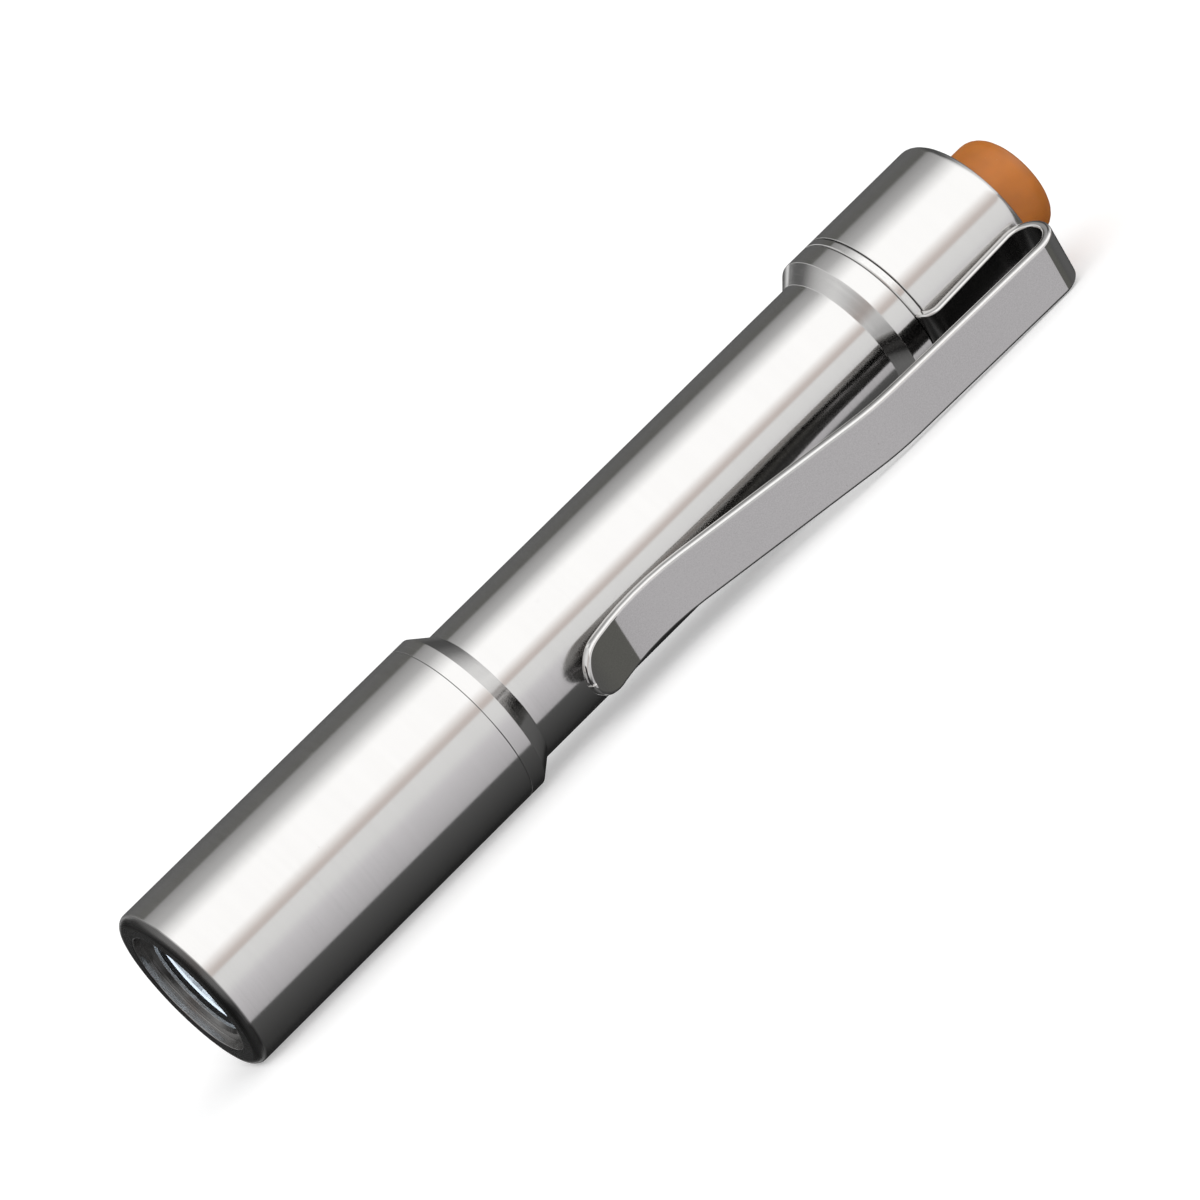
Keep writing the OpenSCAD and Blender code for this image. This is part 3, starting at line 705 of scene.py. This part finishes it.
def make_emitter():
    """A ceramic base, a phosphor tile on it and a clear dome, in the CAD emitter's box."""
    lo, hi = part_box("led_emitter")
    depth, half = hi.x - lo.x, (hi.z - lo.z) / 2
    dome_r = half * 0.62
    base_x = lo.x + min(depth * 0.6, dome_r)
    ceramic = grained("emitter_ceramic", (0.3, 0.22, 0.14), (0.42, 0.32, 0.2), 0.35)
    phosphor = grained("emitter_phosphor", (0.55, 0.4, 0.06), (0.7, 0.54, 0.12), 0.3)
    base = block("emitter_base", base_x, hi.x, half, ceramic)
    finish_piece(base, "head", "white_plastic", "led_emitter")
    tile = block("emitter_tile", base_x - depth * 0.12, base_x, half * 0.45, phosphor)
    finish_piece(tile, "head", "emitter_yellow")
    front = (base_x - BEZEL_X) / MM
    drop = (base_x - lo.x) / MM
    steps = 10
    dome = [(front - drop * math.cos(math.pi / 2 * k / steps) * 0.96,
             dome_r / MM * math.sin(math.pi / 2 * k / steps), 0) for k in range(steps + 1)]
    cover = turned_piece("emitter_dome", [*dome, (front, 0.0, 0)], lens_glass())
    finish_piece(cover, "head", "lens_glass")


class FLASHLIGHT_OT_optics(bpy.types.Operator):
    """The lens, the mirror bowl and the light emitter"""

    bl_idname = "flashlight.make_optics"
    bl_label = "Make Optics"

    def execute(self, context):
        front, back = LENS_Z
        lens = turned_piece("front_lens", [
            (front, 0.0, 0), (front, LENS_R, 0.12), (back, LENS_R, 0.12), (back, 0.0, 0)],
            lens_glass())
        finish_piece(lens, "head", "lens_glass", "lens")

        # The bowl is a paraboloid, with a thin wall behind it and a flange at its mouth
        steps, flange = 36, back + FLANGE_LEN
        bowl = [(back + BOWL_LEN * step / steps,
                 math.sqrt(BOWL_R ** 2 + (THROAT_R ** 2 - BOWL_R ** 2) * step / steps), 0)
                for step in range(steps + 1)]
        wall = [(z, max(r + BOWL_WALL, 3.4), 0) for z, r, _ in bowl[::-4] if z > flange + 0.2]
        corners = bowl[::-1] + [(back, FLANGE_R, 0.05), (flange, FLANGE_R, 0.05),
                                (flange, BOWL_R + BOWL_WALL, 0.0)] + wall[::-1]
        mirror = turned_piece("mirror_reflector", corners, mirror_bowl())
        finish_piece(mirror, "head", "reflector_metal", "reflector")
        make_emitter()
        return {"FINISHED"}


def groove(z):
    """Corners of a neck's groove for its O-ring."""
    start, end = z - GROOVE_HALF, z + GROOVE_HALF
    return [(start, NECK_R, 0.04), (start, GROOVE_R, 0.05), (end, GROOVE_R, 0.05),
            (end, NECK_R, 0.04)]


class FLASHLIGHT_OT_tube(bpy.types.Operator):
    """The slim body tube with its collars, cones and necks"""

    bl_idname = "flashlight.make_tube"
    bl_label = "Make Body Tube"

    def execute(self, context):
        front, rear = GROOVE_Z[0] - GROOVE_HALF, GROOVE_Z[1] + GROOVE_HALF
        collar_end = WASHER_Z - FACE_GAP
        corners = [
            (NECK_FRONT_Z, BORE_R, 0.05), (NECK_FRONT_Z, THREAD_ROOT, 0.2),
            (front - 0.5, THREAD_ROOT, 0.05), (front - 0.4, NECK_R, 0.05), *groove(GROOVE_Z[0]),
            (COLLAR_Z, NECK_R, 0.03), (COLLAR_Z, BODY_R, 0.03), (CONE_Z, BODY_R, 0.1),
            (TUBE_Z, TUBE_R, 0.1), (REAR_CONE_Z, TUBE_R, 0.1), (REAR_COLLAR_Z, BODY_R, 0.1),
            (collar_end, BODY_R, 0.07), (collar_end, NECK_R, 0.03), *groove(GROOVE_Z[1]),
            (rear + 0.3, NECK_R, 0.05), (rear + 0.4, THREAD_ROOT, 0.05),
            (NECK_END_Z, THREAD_ROOT, 0.2), (NECK_END_Z, BORE_R, 0.05),
        ]
        tube = turned_piece("slim_tube", corners, turned_steel())
        finish_piece(tube, "tube", "satin_steel", "body_tube")
        return {"FINISHED"}


class FLASHLIGHT_OT_threads(bpy.types.Operator):
    """The screw threads on the two necks, swept along helices by geometry nodes"""

    bl_idname = "flashlight.make_threads"
    bl_label = "Make Threads"

    def execute(self, context):
        thread = context.scene.flashlight_thread
        middle = NECK_R * MM - thread.depth / 2
        for name, (start, end) in THREAD_Z.items():
            piece = curve_piece(name, start, end, {
                "Turns": (end - start) * MM / thread.pitch, "Steps": 72,
                "Start radius": middle, "End radius": middle,
                "Bottom": thread.pitch * ROOT_SHARE, "Top": thread.pitch * CREST_SHARE,
                "Height": thread.depth, "Sides": 8, "Run out": 0.08,
                "Material": turned_steel()})
            finish_piece(piece, "tube", "satin_steel")
        return {"FINISHED"}


class FLASHLIGHT_OT_cap(bpy.types.Operator):
    """The turned tail cap"""

    bl_idname = "flashlight.make_cap"
    bl_label = "Make Tail Cap"

    def execute(self, context):
        corners = [
            (CAP_Z, FEMALE_R, 0.04), (CAP_Z, BODY_R, 0.07), (CAP_END_Z, BODY_R, 0.8),
            (CAP_END_Z, HOLE_R, 0.12), (CAP_WALL_Z, HOLE_R, 0.04), (CAP_WALL_Z, FEMALE_R, 0.04),
        ]
        cap = turned_piece("tail_cap_shell", corners, turned_steel())
        finish_piece(cap, "cap", "satin_steel", "tail_cap")
        return {"FINISHED"}


# The clip's inner bend at the washer, and the middle of its loop
TAB_R = 0.65 + CLIP_T / 2
LOOP_MID_Z = 79.54
TAB_RISE = LOOP_MID_Z - WASHER_Z - CLIP_T / 2 - TAB_R - (TAB_R + LOOP_R) * math.sin(TAB_LEAN)
TAB_LEN = TAB_RISE / math.cos(TAB_LEAN)
# Where the tab's foot leaves the washer
TAB_START_R = (LEG_R + LOOP_R * (1 - math.cos(TAB_LEAN)) + TAB_LEN * math.sin(TAB_LEAN)
               - TAB_R * math.cos(TAB_LEAN))
FOOT = 0.45
KNEE_R, TOE_R = 20.0, 17.8
BLADE_SLOPE, TIP_ANGLE = 13.1, 23.5
OUTER_LEG = 15.2
TOE_GAP = 0.02
BLADE_DROP = (LEG_R + LOOP_R * (1 + math.cos(LEG_LEAN)) - OUTER_LEG * math.sin(LEG_LEAN)
              - KNEE_R * (math.cos(LEG_LEAN) - math.cos(math.radians(BLADE_SLOPE)))
              - TUBE_R - TOE_GAP - CLIP_T / 2 - TOE_R * (1 - math.cos(math.radians(BLADE_SLOPE))))
BLADE_LEN = BLADE_DROP / math.sin(math.radians(BLADE_SLOPE))
# The clip's middle line: straight runs, and turns with their radius and angle
CLIP_PATH = [
    ("line", FOOT), ("turn", TAB_R, 90 + math.degrees(TAB_LEAN)), ("line", TAB_LEN),
    ("turn", LOOP_R, -180 - math.degrees(TAB_LEAN + LEG_LEAN)), ("line", OUTER_LEG),
    ("turn", KNEE_R, math.degrees(LEG_LEAN) - BLADE_SLOPE), ("line", BLADE_LEN),
    ("turn", TOE_R, BLADE_SLOPE + TIP_ANGLE),
]
# The tip's round, and its length along the rising strip
TIP_ROUND = CLIP_W / 2
TIP_LEN = TIP_ROUND / math.cos(math.radians(TIP_ANGLE - 3))
# Least lean of the rim's normals out of the faces, which rounds the look of the cut walls
WALL_BULGE = 0.12
# How dark the painted shade on the inner side of the outer leg is, and how far from the tip it
# fades
BLADE_SHADE, TIP_SHADE, SHADE_FADE = 0.4, 0.3, 2.5


def clip_stations(step=0.35):
    """Places and headings along the clip's middle line, each with its length from the start."""
    at = Vector((TAB_START_R - FOOT, WASHER_Z + CLIP_T / 2))
    heading, gone, made = 0.0, 0.0, []

    def keep():
        made.append((gone, at.copy(), heading))

    keep()
    for leg in CLIP_PATH:
        if leg[0] == "line":
            pieces = max(1, math.ceil(leg[1] / step))
            for _ in range(pieces):
                at = at + Vector((math.cos(heading), math.sin(heading))) * (leg[1] / pieces)
                gone += leg[1] / pieces
                keep()
        else:
            radius, angle = leg[1], math.radians(leg[2])
            side = math.copysign(1, angle)
            pieces = max(4, math.ceil(abs(angle) / math.radians(5)))
            centre = at + Vector((-math.sin(heading), math.cos(heading))) * radius * side
            for _ in range(pieces):
                heading += angle / pieces
                at = centre + Vector((math.sin(heading), -math.cos(heading))) * radius * side
                gone += radius * abs(angle) / pieces
                keep()
    return made


def clip_strip(edge):
    """Points, normals, faces and painted-shade shares of the inner side of the strip, with rounded
    rim and tip.
    """
    stations = clip_stations()
    total = stations[-1][0]
    bend = total - TIP_LEN
    straight = [s for s in stations if s[0] < bend - 0.02]
    arc_steps = 16

    def at_length(length):
        for before, after in zip(stations, stations[1:]):
            if length <= after[0] + 1e-9:
                share = (length - before[0]) / (after[0] - before[0])
                return before[1].lerp(after[1], share), before[2] + (after[2] - before[2]) * share
        return stations[-1][1], stations[-1][2]

    half, thick = CLIP_W / 2, CLIP_T / 2
    rows, rim_steps = [], 5
    for face, rim in ((1, edge), (-1, edge * 0.75)):
        for k in range(rim_steps + 1):
            a = math.pi / 2 * k / rim_steps
            inset, height = rim * (1 - math.sin(a)), thick - rim * (1 - math.cos(a))
            up = max(math.cos(a), WALL_BULGE)
            rows.append((inset, face * height, face * up, math.sin(a)))
    rows = rows[:rim_steps + 1] + rows[rim_steps + 1:][::-1]
    points, normals, loops, painted_shade = [], [], [], []
    for inset, height, up, out in rows:
        radius = TIP_ROUND - inset
        spots = [(s[0], half - inset, s[1], s[2], 0.0, 1.0) for s in straight]
        for k in range(arc_steps + 1):
            a = math.pi / 2 * k / arc_steps
            length = bend + radius * math.sin(a) * TIP_LEN / TIP_ROUND
            spots.append((length, half - TIP_ROUND + radius * math.cos(a), *at_length(length),
                          math.sin(a), math.cos(a)))
        sides = []
        for side in (1, -1):
            sides.append(list(range(len(points), len(points) + len(spots))))
            for length, width, middle, heading, ahead, aside in spots:
                fore = Vector((math.cos(heading), math.sin(heading)))
                left = Vector((-fore.y, fore.x))
                spot = middle + left * height
                # Painted shade on the strip's inner side: lighter where the blade slopes down to
                # the tube, and lighter near the tip
                sloped = spot.x < LEG_R + 2 * LOOP_R - 0.6 and spot.y < REAR_COLLAR_Z
                fade = min(1.0, (total - length) / SHADE_FADE)
                dark = (BLADE_SHADE if sloped else 1.0) * (TIP_SHADE + (1 - TIP_SHADE) * fade)
                painted_shade.append(dark if height < 0 and out < 0.5 else 0.0)
                points.append(place(spot.y, spot.x, side * width))
                turn = left * up + fore * (out * ahead)
                normals.append(OUTWARD * turn.x + ALONG * turn.y + ACROSS * (side * out * aside))
        loops.append(sides[0] + sides[1][::-1])
    count = len(loops[0])
    faces = [(a[k - 1], a[k], b[k], b[k - 1]) for a, b in zip(loops, loops[1:])
             for k in range(count)]
    # The two flat faces, each a ladder between its sides
    for k in range(count // 2 - 1):
        m = count - 1 - k
        faces += [(flat[k], flat[k + 1], flat[m - 1], flat[m]) for flat in (loops[0], loops[-1])]
    return points, normals, faces, painted_shade


class FLASHLIGHT_OT_clip(bpy.types.Operator):
    """The clip: one bent strip with polished edges, on a washer round the neck"""

    bl_idname = "flashlight.make_clip"
    bl_label = "Make Clip"

    def execute(self, context):
        edge = context.scene.flashlight_clip.edge_round / MM
        points, normals, faces, painted_shade = clip_strip(edge)
        strip = make_object("pocket_clip", points, face_out(points, normals, faces),
                            clip_steel(), normals)
        mark_painted_shade(strip, painted_shade)
        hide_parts("clip_base", "clip_blade")
        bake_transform(strip)

        front, back = WASHER_Z + 0.01, WASHER_Z + CLIP_T - 0.01
        washer = turned_piece("clip_washer", [
            (front, WASHER_HOLE_R, 0.06), (front, BODY_R, 0.16),
            (back, BODY_R, 0.16), (back, WASHER_HOLE_R, 0.06)], clip_steel())
        finish_piece(washer, "clip", "polished_steel")
        return {"FINISHED"}


class FLASHLIGHT_OT_button(bpy.types.Operator):
    """The silicone push button"""

    bl_idname = "flashlight.make_button"
    bl_label = "Make Button"

    def execute(self, context):
        inner_end, inner_r = BUTTON_END_Z - 1.2, BUTTON_R - 0.9
        boot = turned_piece("push_button", [
            (inner_end, 0.0, 0), (inner_end, inner_r, 0.45), (SKIRT_Z, inner_r, 0.08),
            (SKIRT_Z, BUTTON_R, 0.08), (BUTTON_END_Z, BUTTON_R, BUTTON_ROUND),
            (BUTTON_END_Z, 0.0, 0)], silicone())
        finish_piece(boot, "button", "amber_silicone", "button_boot")
        return {"FINISHED"}


class FLASHLIGHT_OT_spring(bpy.types.Operator):
    """The conical contact spring, swept by geometry nodes"""

    bl_idname = "flashlight.make_spring"
    bl_label = "Make Spring"

    def execute(self, context):
        steel = grained("plated_spring_steel", (0.62, 0.5, 0.3), (0.75, 0.63, 0.4), 0.22,
                        metallic=1.0)
        front_r, back_r = SPRING_R
        spring = curve_piece("contact_spring", *SPRING_Z, {
            "Turns": SPRING_TURNS, "Steps": 40, "Start radius": front_r * MM,
            "End radius": back_r * MM, "Bottom": 0.0, "Top": 0.0, "Height": SPRING_WIRE * MM,
            "Sides": 12, "Run out": 0.0001, "Material": steel})
        finish_piece(spring, "cap", "spring_steel", "tail_spring")
        return {"FINISHED"}


# Finishes of the CAD model's own parts: dark tone, light tone, roughness, metallic, nodes
INSIDE = {
    "matt_black_rubber": ((0.012, 0.012, 0.013), (0.025, 0.025, 0.026), 0.55, 0.0,
                          ("lens_seal", "head_o_ring", "tail_o_ring")),
    "turned_brass": ((0.55, 0.36, 0.14), (0.66, 0.45, 0.2), 0.25, 1.0,
                     ("heat_sink", "driver_ring", "driver_contact", "switch_spacer",
                      "switch_ring")),
    "green_board": ((0.008, 0.075, 0.03), (0.015, 0.11, 0.045), 0.35, 0.0,
                    ("driver_board", "switch_board")),
    "moulded_black_plastic": ((0.015, 0.015, 0.016), (0.03, 0.03, 0.032), 0.4, 0.0,
                              ("driver_parts", "switch_housing")),
    "moulded_white_plastic": ((0.72, 0.72, 0.69), (0.8, 0.8, 0.77), 0.45, 0.0,
                              ("led_gasket", "battery_insulator", "switch_plunger")),
    "nickel_can": ((0.58, 0.57, 0.54), (0.66, 0.65, 0.62), 0.22, 1.0, ("battery_can",)),
    "grey_jacket": ((0.045, 0.05, 0.06), (0.065, 0.07, 0.085), 0.3, 0.0, ("battery_jacket",)),
    "white_board": ((0.68, 0.69, 0.67), (0.76, 0.77, 0.75), 0.3, 0.0, ("led_board",)),
    "red_wire": ((0.42, 0.018, 0.012), (0.5, 0.03, 0.02), 0.4, 0.0, ("led_wires",)),
}


def paint(name, material):
    """Gives a material to a node of the CAD model that stays as it is."""
    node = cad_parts[name]
    for place_in in node.material_slots:
        place_in.material = material
    if not node.material_slots:
        node.data.materials.append(material)


class FLASHLIGHT_OT_inside(bpy.types.Operator):
    """Finishes of the parts inside: boards, rings, battery, switch and seals"""

    bl_idname = "flashlight.finish_inside"
    bl_label = "Finish Inside"

    def execute(self, context):
        for name, (*look, parts) in INSIDE.items():
            for part in parts:
                paint(part, grained(name, *look))
        paint("boot_flange", silicone())
        return {"FINISHED"}


# Studio


@finish("pale_floor")
def pale_floor(nodes):
    """Keeps the shadows, and glows only where it is seen, so that it shows white."""
    far = nodes.add("ShaderNodeVectorMath", {0: nodes.spot()}, operation="LENGTH")
    level = nodes.ranged(far.outputs["Value"], 0.1, 0.6, 0.32, 0.45)
    path = nodes.add("ShaderNodeLightPath").outputs
    seen = nodes.larger(path["Is Camera Ray"], nodes.larger(path["Is Glossy Ray"],
                                                            path["Is Transmission Ray"]))
    glow = nodes.out("ShaderNodeEmission",
                     {"Color": (1.0, 1.0, 1.0, 1.0), "Strength": nodes.times(level, seen)})
    own = nodes.tree.nodes
    both = nodes.out("ShaderNodeAddShader", {0: own["Principled BSDF"].outputs[0], 1: glow})
    nodes.fill(own["Material Output"].inputs, {"Surface": both})
    return {"Base Color": (0.8, 0.8, 0.8, 1.0), "Roughness": 0.9, "Specular IOR Level": 0.0}


def band_ramp(nodes, share, stops):
    """A colour ramp over the turn about the axis. Stops are (degrees, level or colour)."""
    made = nodes.add("ShaderNodeValToRGB", {"Fac": share})
    ramp = made.color_ramp
    ramp.elements.remove(ramp.elements[-1])
    for i, (angle, level) in enumerate(stops):
        at = (angle + 180) / 360
        stop = ramp.elements.new(at) if i else ramp.elements[0]
        stop.position = at
        stop.color = scaled(level if isinstance(level, tuple) else (level,) * 3, 1 / TOP_LEVEL)
    return made.outputs["Color"]


# Full strength of the fields that the steel mirrors, and the level round the bezel's rim
TOP_LEVEL = 2.0
RIM_LEVEL = 0.045
OLIVE = (0.15, 0.15, 0.139)


def warm(level):
    """A level with the tint of the gap between the pale card and the softbox."""
    return level * 1.09, level * 0.98, level * 0.93


def cool(level):
    """A level with the faint tint of the pale card."""
    return level * 1.01, level * 0.99, level * 1.02


# The studio's fields, each by its edges: degrees up from the camera's direction, and a level.
# A dark floor, a pale card, a narrow warm gap, a softbox that fades upwards and an olive wall
PHOTO_SIDE = [
    (-180, 0.02), (-150, 0.02), (-78.5, 0.12), (-77.5, cool(0.6)), (-36, cool(0.88)), (-25, 1.05),
    (-7, 1.1), (-4.5, warm(0.75)), (0, warm(0.8)), (15, 1.6), (58, 1.6), (86, 0.65),
    (110.5, 0.37), (111.5, OLIVE), (140, 0.16), (180, 0.1),
]
OTHER_SIDES = [
    (-180, 0.7), (-159, 0.75), (-127, 0.4), (-117, 0.1), (-99, 0.06), (-81, 0.1), (-73, 0.5),
    (-49, 0.75), (-13, 0.95), (-9, 0.5), (1, 0.8), (11, 1.5), (51, 1.6), (71, 1.0),
    (79, 0.4), (83, 0.4), (91, 1.0), (111, 1.5), (151, 1.4), (163, 0.8), (180, 0.7),
]
# Fields round the tail's direction, by the angle away from it, above and below the axis
TAIL_ABOVE = [
    (0, 0.8), (10, 1.15), (18, 1.1), (36, 0.25), (46, 0.1), (64, 0.07), (73, 0.17), (80, 0.1),
]
TAIL_BELOW = [(0, 0.8), (6, warm(0.2)), (11, warm(0.6)), (17, 0.19), (40, 0.13), (60, 0.05)]
FRONT_END = [
    (-180, 0.05), (-150, 0.07), (-90, 0.2), (-70, 0.08), (-57, 0.1), (-37, 0.65), (-18, 0.9),
    (0, 0.88), (19, warm(0.65)), (56, 1.1), (78, 1.1), (110, 0.64), (127, 0.17), (180, 0.05),
]
THROUGH_LENS = [
    (-180, 0.25), (-130, 0.08), (-100, 0.1), (-60, (0.5, 0.54, 0.58)), (-20, (0.7, 0.75, 0.8)),
    (0, 0.3), (15, (0.8, 0.84, 0.88)), (60, (0.9, 0.95, 1.0)), (85, 0.2), (110, 0.12),
    (140, (0.55, 0.6, 0.64)), (180, 0.25),
]
# Where the camera stands and what it looks at, in millimetres behind the bezel and off the axis
CAMERA_Z, CAMERA_OFF = -88.128, 432.92
AIM_Z, AIM_BELOW = 41.109, 0.667


def camera_rise(studio):
    """How high over level the camera stands, so that it sees the clip turned by clip_view."""
    return studio.clip_view + CLIP_ANGLE - math.pi / 2


def make_world(studio):
    """White to the camera, soft light to rough surfaces, and bands to what mirrors."""
    world = bpy.data.worlds.new("Studio")
    bpy.context.scene.world = world
    world.use_nodes = True
    world.node_tree.nodes.clear()
    nodes = Nodes(world.node_tree)
    mix, step, within, larger = nodes.mix, nodes.step, nodes.within, nodes.larger
    way = nodes.add("ShaderNodeSeparateXYZ", {
        0: nodes.add("ShaderNodeTexCoord").outputs["Generated"]}).outputs
    # Degrees up from the camera's direction, and degrees towards the tail
    level = nodes.maths("ARCTAN2", way["Z"], nodes.times(way["Y"], -1.0))
    around = nodes.maths("DIVIDE", nodes.minus(level, camera_rise(studio)), math.tau)
    share = nodes.maths("FRACT", nodes.plus(around, 0.5))
    turn = nodes.times(nodes.minus(share, 0.5), 360.0)
    aside = nodes.maths("ABSOLUTE", turn)
    lean = nodes.maths("DEGREES", nodes.maths("ARCSINE", way["X"]))
    off_tail = nodes.maths("DIVIDE", nodes.minus(270.0, lean), 360.0)

    # The photograph's side lies in a window round the camera's direction
    under_clip = nodes.times(within(turn, -92.0, -86.0, -58.0, -50.0),
                             within(lean, -24.0, -14.0, 40.0, 50.0))
    window = larger(within(lean, -4.0, 8.0, 68.0, 80.0), under_clip)
    seen = mix(step(lean, -4.0, -11.0), band_ramp(nodes, share, OTHER_SIDES),
               band_ramp(nodes, share, FRONT_END))
    seen = mix(window, seen, band_ramp(nodes, share, PHOTO_SIDE))
    # A dark field ahead of the bezel, and another that its rounded rim shows
    ahead = step(nodes.plus(lean, nodes.times(aside, -0.2)), -70.0, -76.0)
    behind_rim = nodes.times(within(lean, -26.0, -20.0, -6.0, -2.0),
                             step(aside, 140.0, 152.0))
    seen = mix(larger(ahead, behind_rim), seen, scaled((RIM_LEVEL,) * 3, 1 / TOP_LEVEL))
    # What the clip's tip shows past its bend, and then the field round the tail
    past_tip = nodes.times(within(turn, -116.0, -108.0, -44.0, -36.0),
                           step(lean, 29.8, 30.2))
    seen = mix(past_tip, seen, scaled(OLIVE, 1 / TOP_LEVEL))
    tail = mix(step(turn, -4.0, 4.0), band_ramp(nodes, off_tail, TAIL_BELOW),
               band_ramp(nodes, off_tail, TAIL_ABOVE))
    at_tail = larger(step(lean, 74.0, 84.0),
                     nodes.times(step(lean, 28.0, 36.0), step(aside, 84.0, 98.0)))
    seen = mix(at_tail, seen, tail)

    path = nodes.add("ShaderNodeLightPath").outputs
    seen = mix(path["Is Transmission Ray"], seen, band_ramp(nodes, share, THROUGH_LENS))
    mirrored = larger(path["Is Glossy Ray"], path["Is Transmission Ray"])
    white = (1.0, 1.0, 1.0, 1.0)
    soft, bands, shown = (
        nodes.out("ShaderNodeBackground", {"Color": colour, "Strength": strength})
        for colour, strength in ((white, studio.fill), (seen, TOP_LEVEL), (white, 1.0)))
    lit = nodes.out("ShaderNodeMixShader", {0: mirrored, 1: soft, 2: bands})
    both = nodes.out("ShaderNodeMixShader", {0: path["Is Camera Ray"], 1: lit, 2: shown})
    nodes.add("ShaderNodeOutputWorld", {"Surface": both})


def make_floor():
    """The floor, which the steel doesn't mirror."""
    reach = 20.0
    points = [(-reach, -reach, 0), (reach, -reach, 0), (reach, reach, 0), (-reach, reach, 0)]
    floor = make_object("floor", points, [(0, 1, 2, 3)], pale_floor())
    floor.visible_glossy = False


def make_key(studio):
    """The softbox overhead, on the camera's side and a little ahead of the bezel."""
    light = bpy.data.lights.new("overhead_softbox", "AREA")
    light.shape = "RECTANGLE"
    light.size, light.size_y = 0.5, 0.35
    light.energy = studio.key_power
    lamp = linked("overhead_softbox", light)
    spot = Vector((-0.12, -0.38, 0.36))
    aimed = spot.to_track_quat("Z", "Y").to_matrix().to_4x4()
    lamp.matrix_world = Matrix.Translation(spot) @ aimed
    lamp.visible_glossy = lamp.visible_camera = False


def make_camera(studio):
    """The camera fitted to the photograph."""
    rise = camera_rise(studio)
    toward = Vector((0, -math.cos(rise), math.sin(rise)))
    above = Vector((0, math.sin(rise), math.cos(rise)))
    axis = Vector((BEZEL_X, AXIS_Y, AXIS_Z))
    spot = axis + (ALONG * CAMERA_Z + toward * CAMERA_OFF) * MM
    aim = axis + (ALONG * AIM_Z - above * AIM_BELOW) * MM
    view = (aim - spot).normalized()
    right = (ALONG - view * ALONG.dot(view)).normalized()
    facing = Matrix((right, right.cross(view), -view)).transposed()
    data = bpy.data.cameras.new("camera")
    data.lens = studio.lens
    data.sensor_width = 36.0
    data.clip_start, data.clip_end = 0.01, 100.0
    camera = linked("camera", data)
    rolled = facing @ Matrix.Rotation(-studio.roll, 3, "Z")
    camera.matrix_world = Matrix.Translation(spot) @ rolled.to_4x4()
    bpy.context.scene.camera = camera


class FLASHLIGHT_OT_studio(bpy.types.Operator):
    """The pale floor, the soft light from all sides, the key light and the camera"""

    bl_idname = "flashlight.make_studio"
    bl_label = "Make Studio"

    def execute(self, context):
        studio = context.scene.flashlight_studio
        make_world(studio)
        make_floor()
        make_key(studio)
        make_camera(studio)
        context.scene.view_settings.view_transform = "Standard"
        return {"FINISHED"}


class FLASHLIGHT_PT_maker(bpy.types.Panel):
    """Lists the steps that make the flashlight"""

    bl_idname = "FLASHLIGHT_PT_maker"
    bl_label = "Flashlight"
    bl_space_type = "VIEW_3D"
    bl_region_type = "UI"
    bl_category = "Flashlight"

    def draw(self, context):
        for name, group in SETTINGS.items():
            box = self.layout.box()
            for field in group.__annotations__:
                box.prop(getattr(context.scene, name), field)
        for operator in OPERATORS:
            self.layout.operator(operator.bl_idname)


OPERATORS = (
    FLASHLIGHT_OT_studio, FLASHLIGHT_OT_head, FLASHLIGHT_OT_optics, FLASHLIGHT_OT_tube,
    FLASHLIGHT_OT_threads, FLASHLIGHT_OT_cap, FLASHLIGHT_OT_clip, FLASHLIGHT_OT_button,
    FLASHLIGHT_OT_spring, FLASHLIGHT_OT_inside,
)
CLASSES = (*SETTINGS.values(), *OPERATORS, FLASHLIGHT_PT_maker)


def register():
    for made in CLASSES:
        bpy.utils.register_class(made)
    for name, group in SETTINGS.items():
        setattr(bpy.types.Scene, name, PointerProperty(type=group))


def unregister():
    for name in SETTINGS:
        delattr(bpy.types.Scene, name)
    for made in reversed(CLASSES):
        bpy.utils.unregister_class(made)


def main():
    register()
    for operator in OPERATORS:
        family, name = operator.bl_idname.split(".")
        getattr(getattr(bpy.ops, family), name)()


if __name__ == "__main__":
    main()
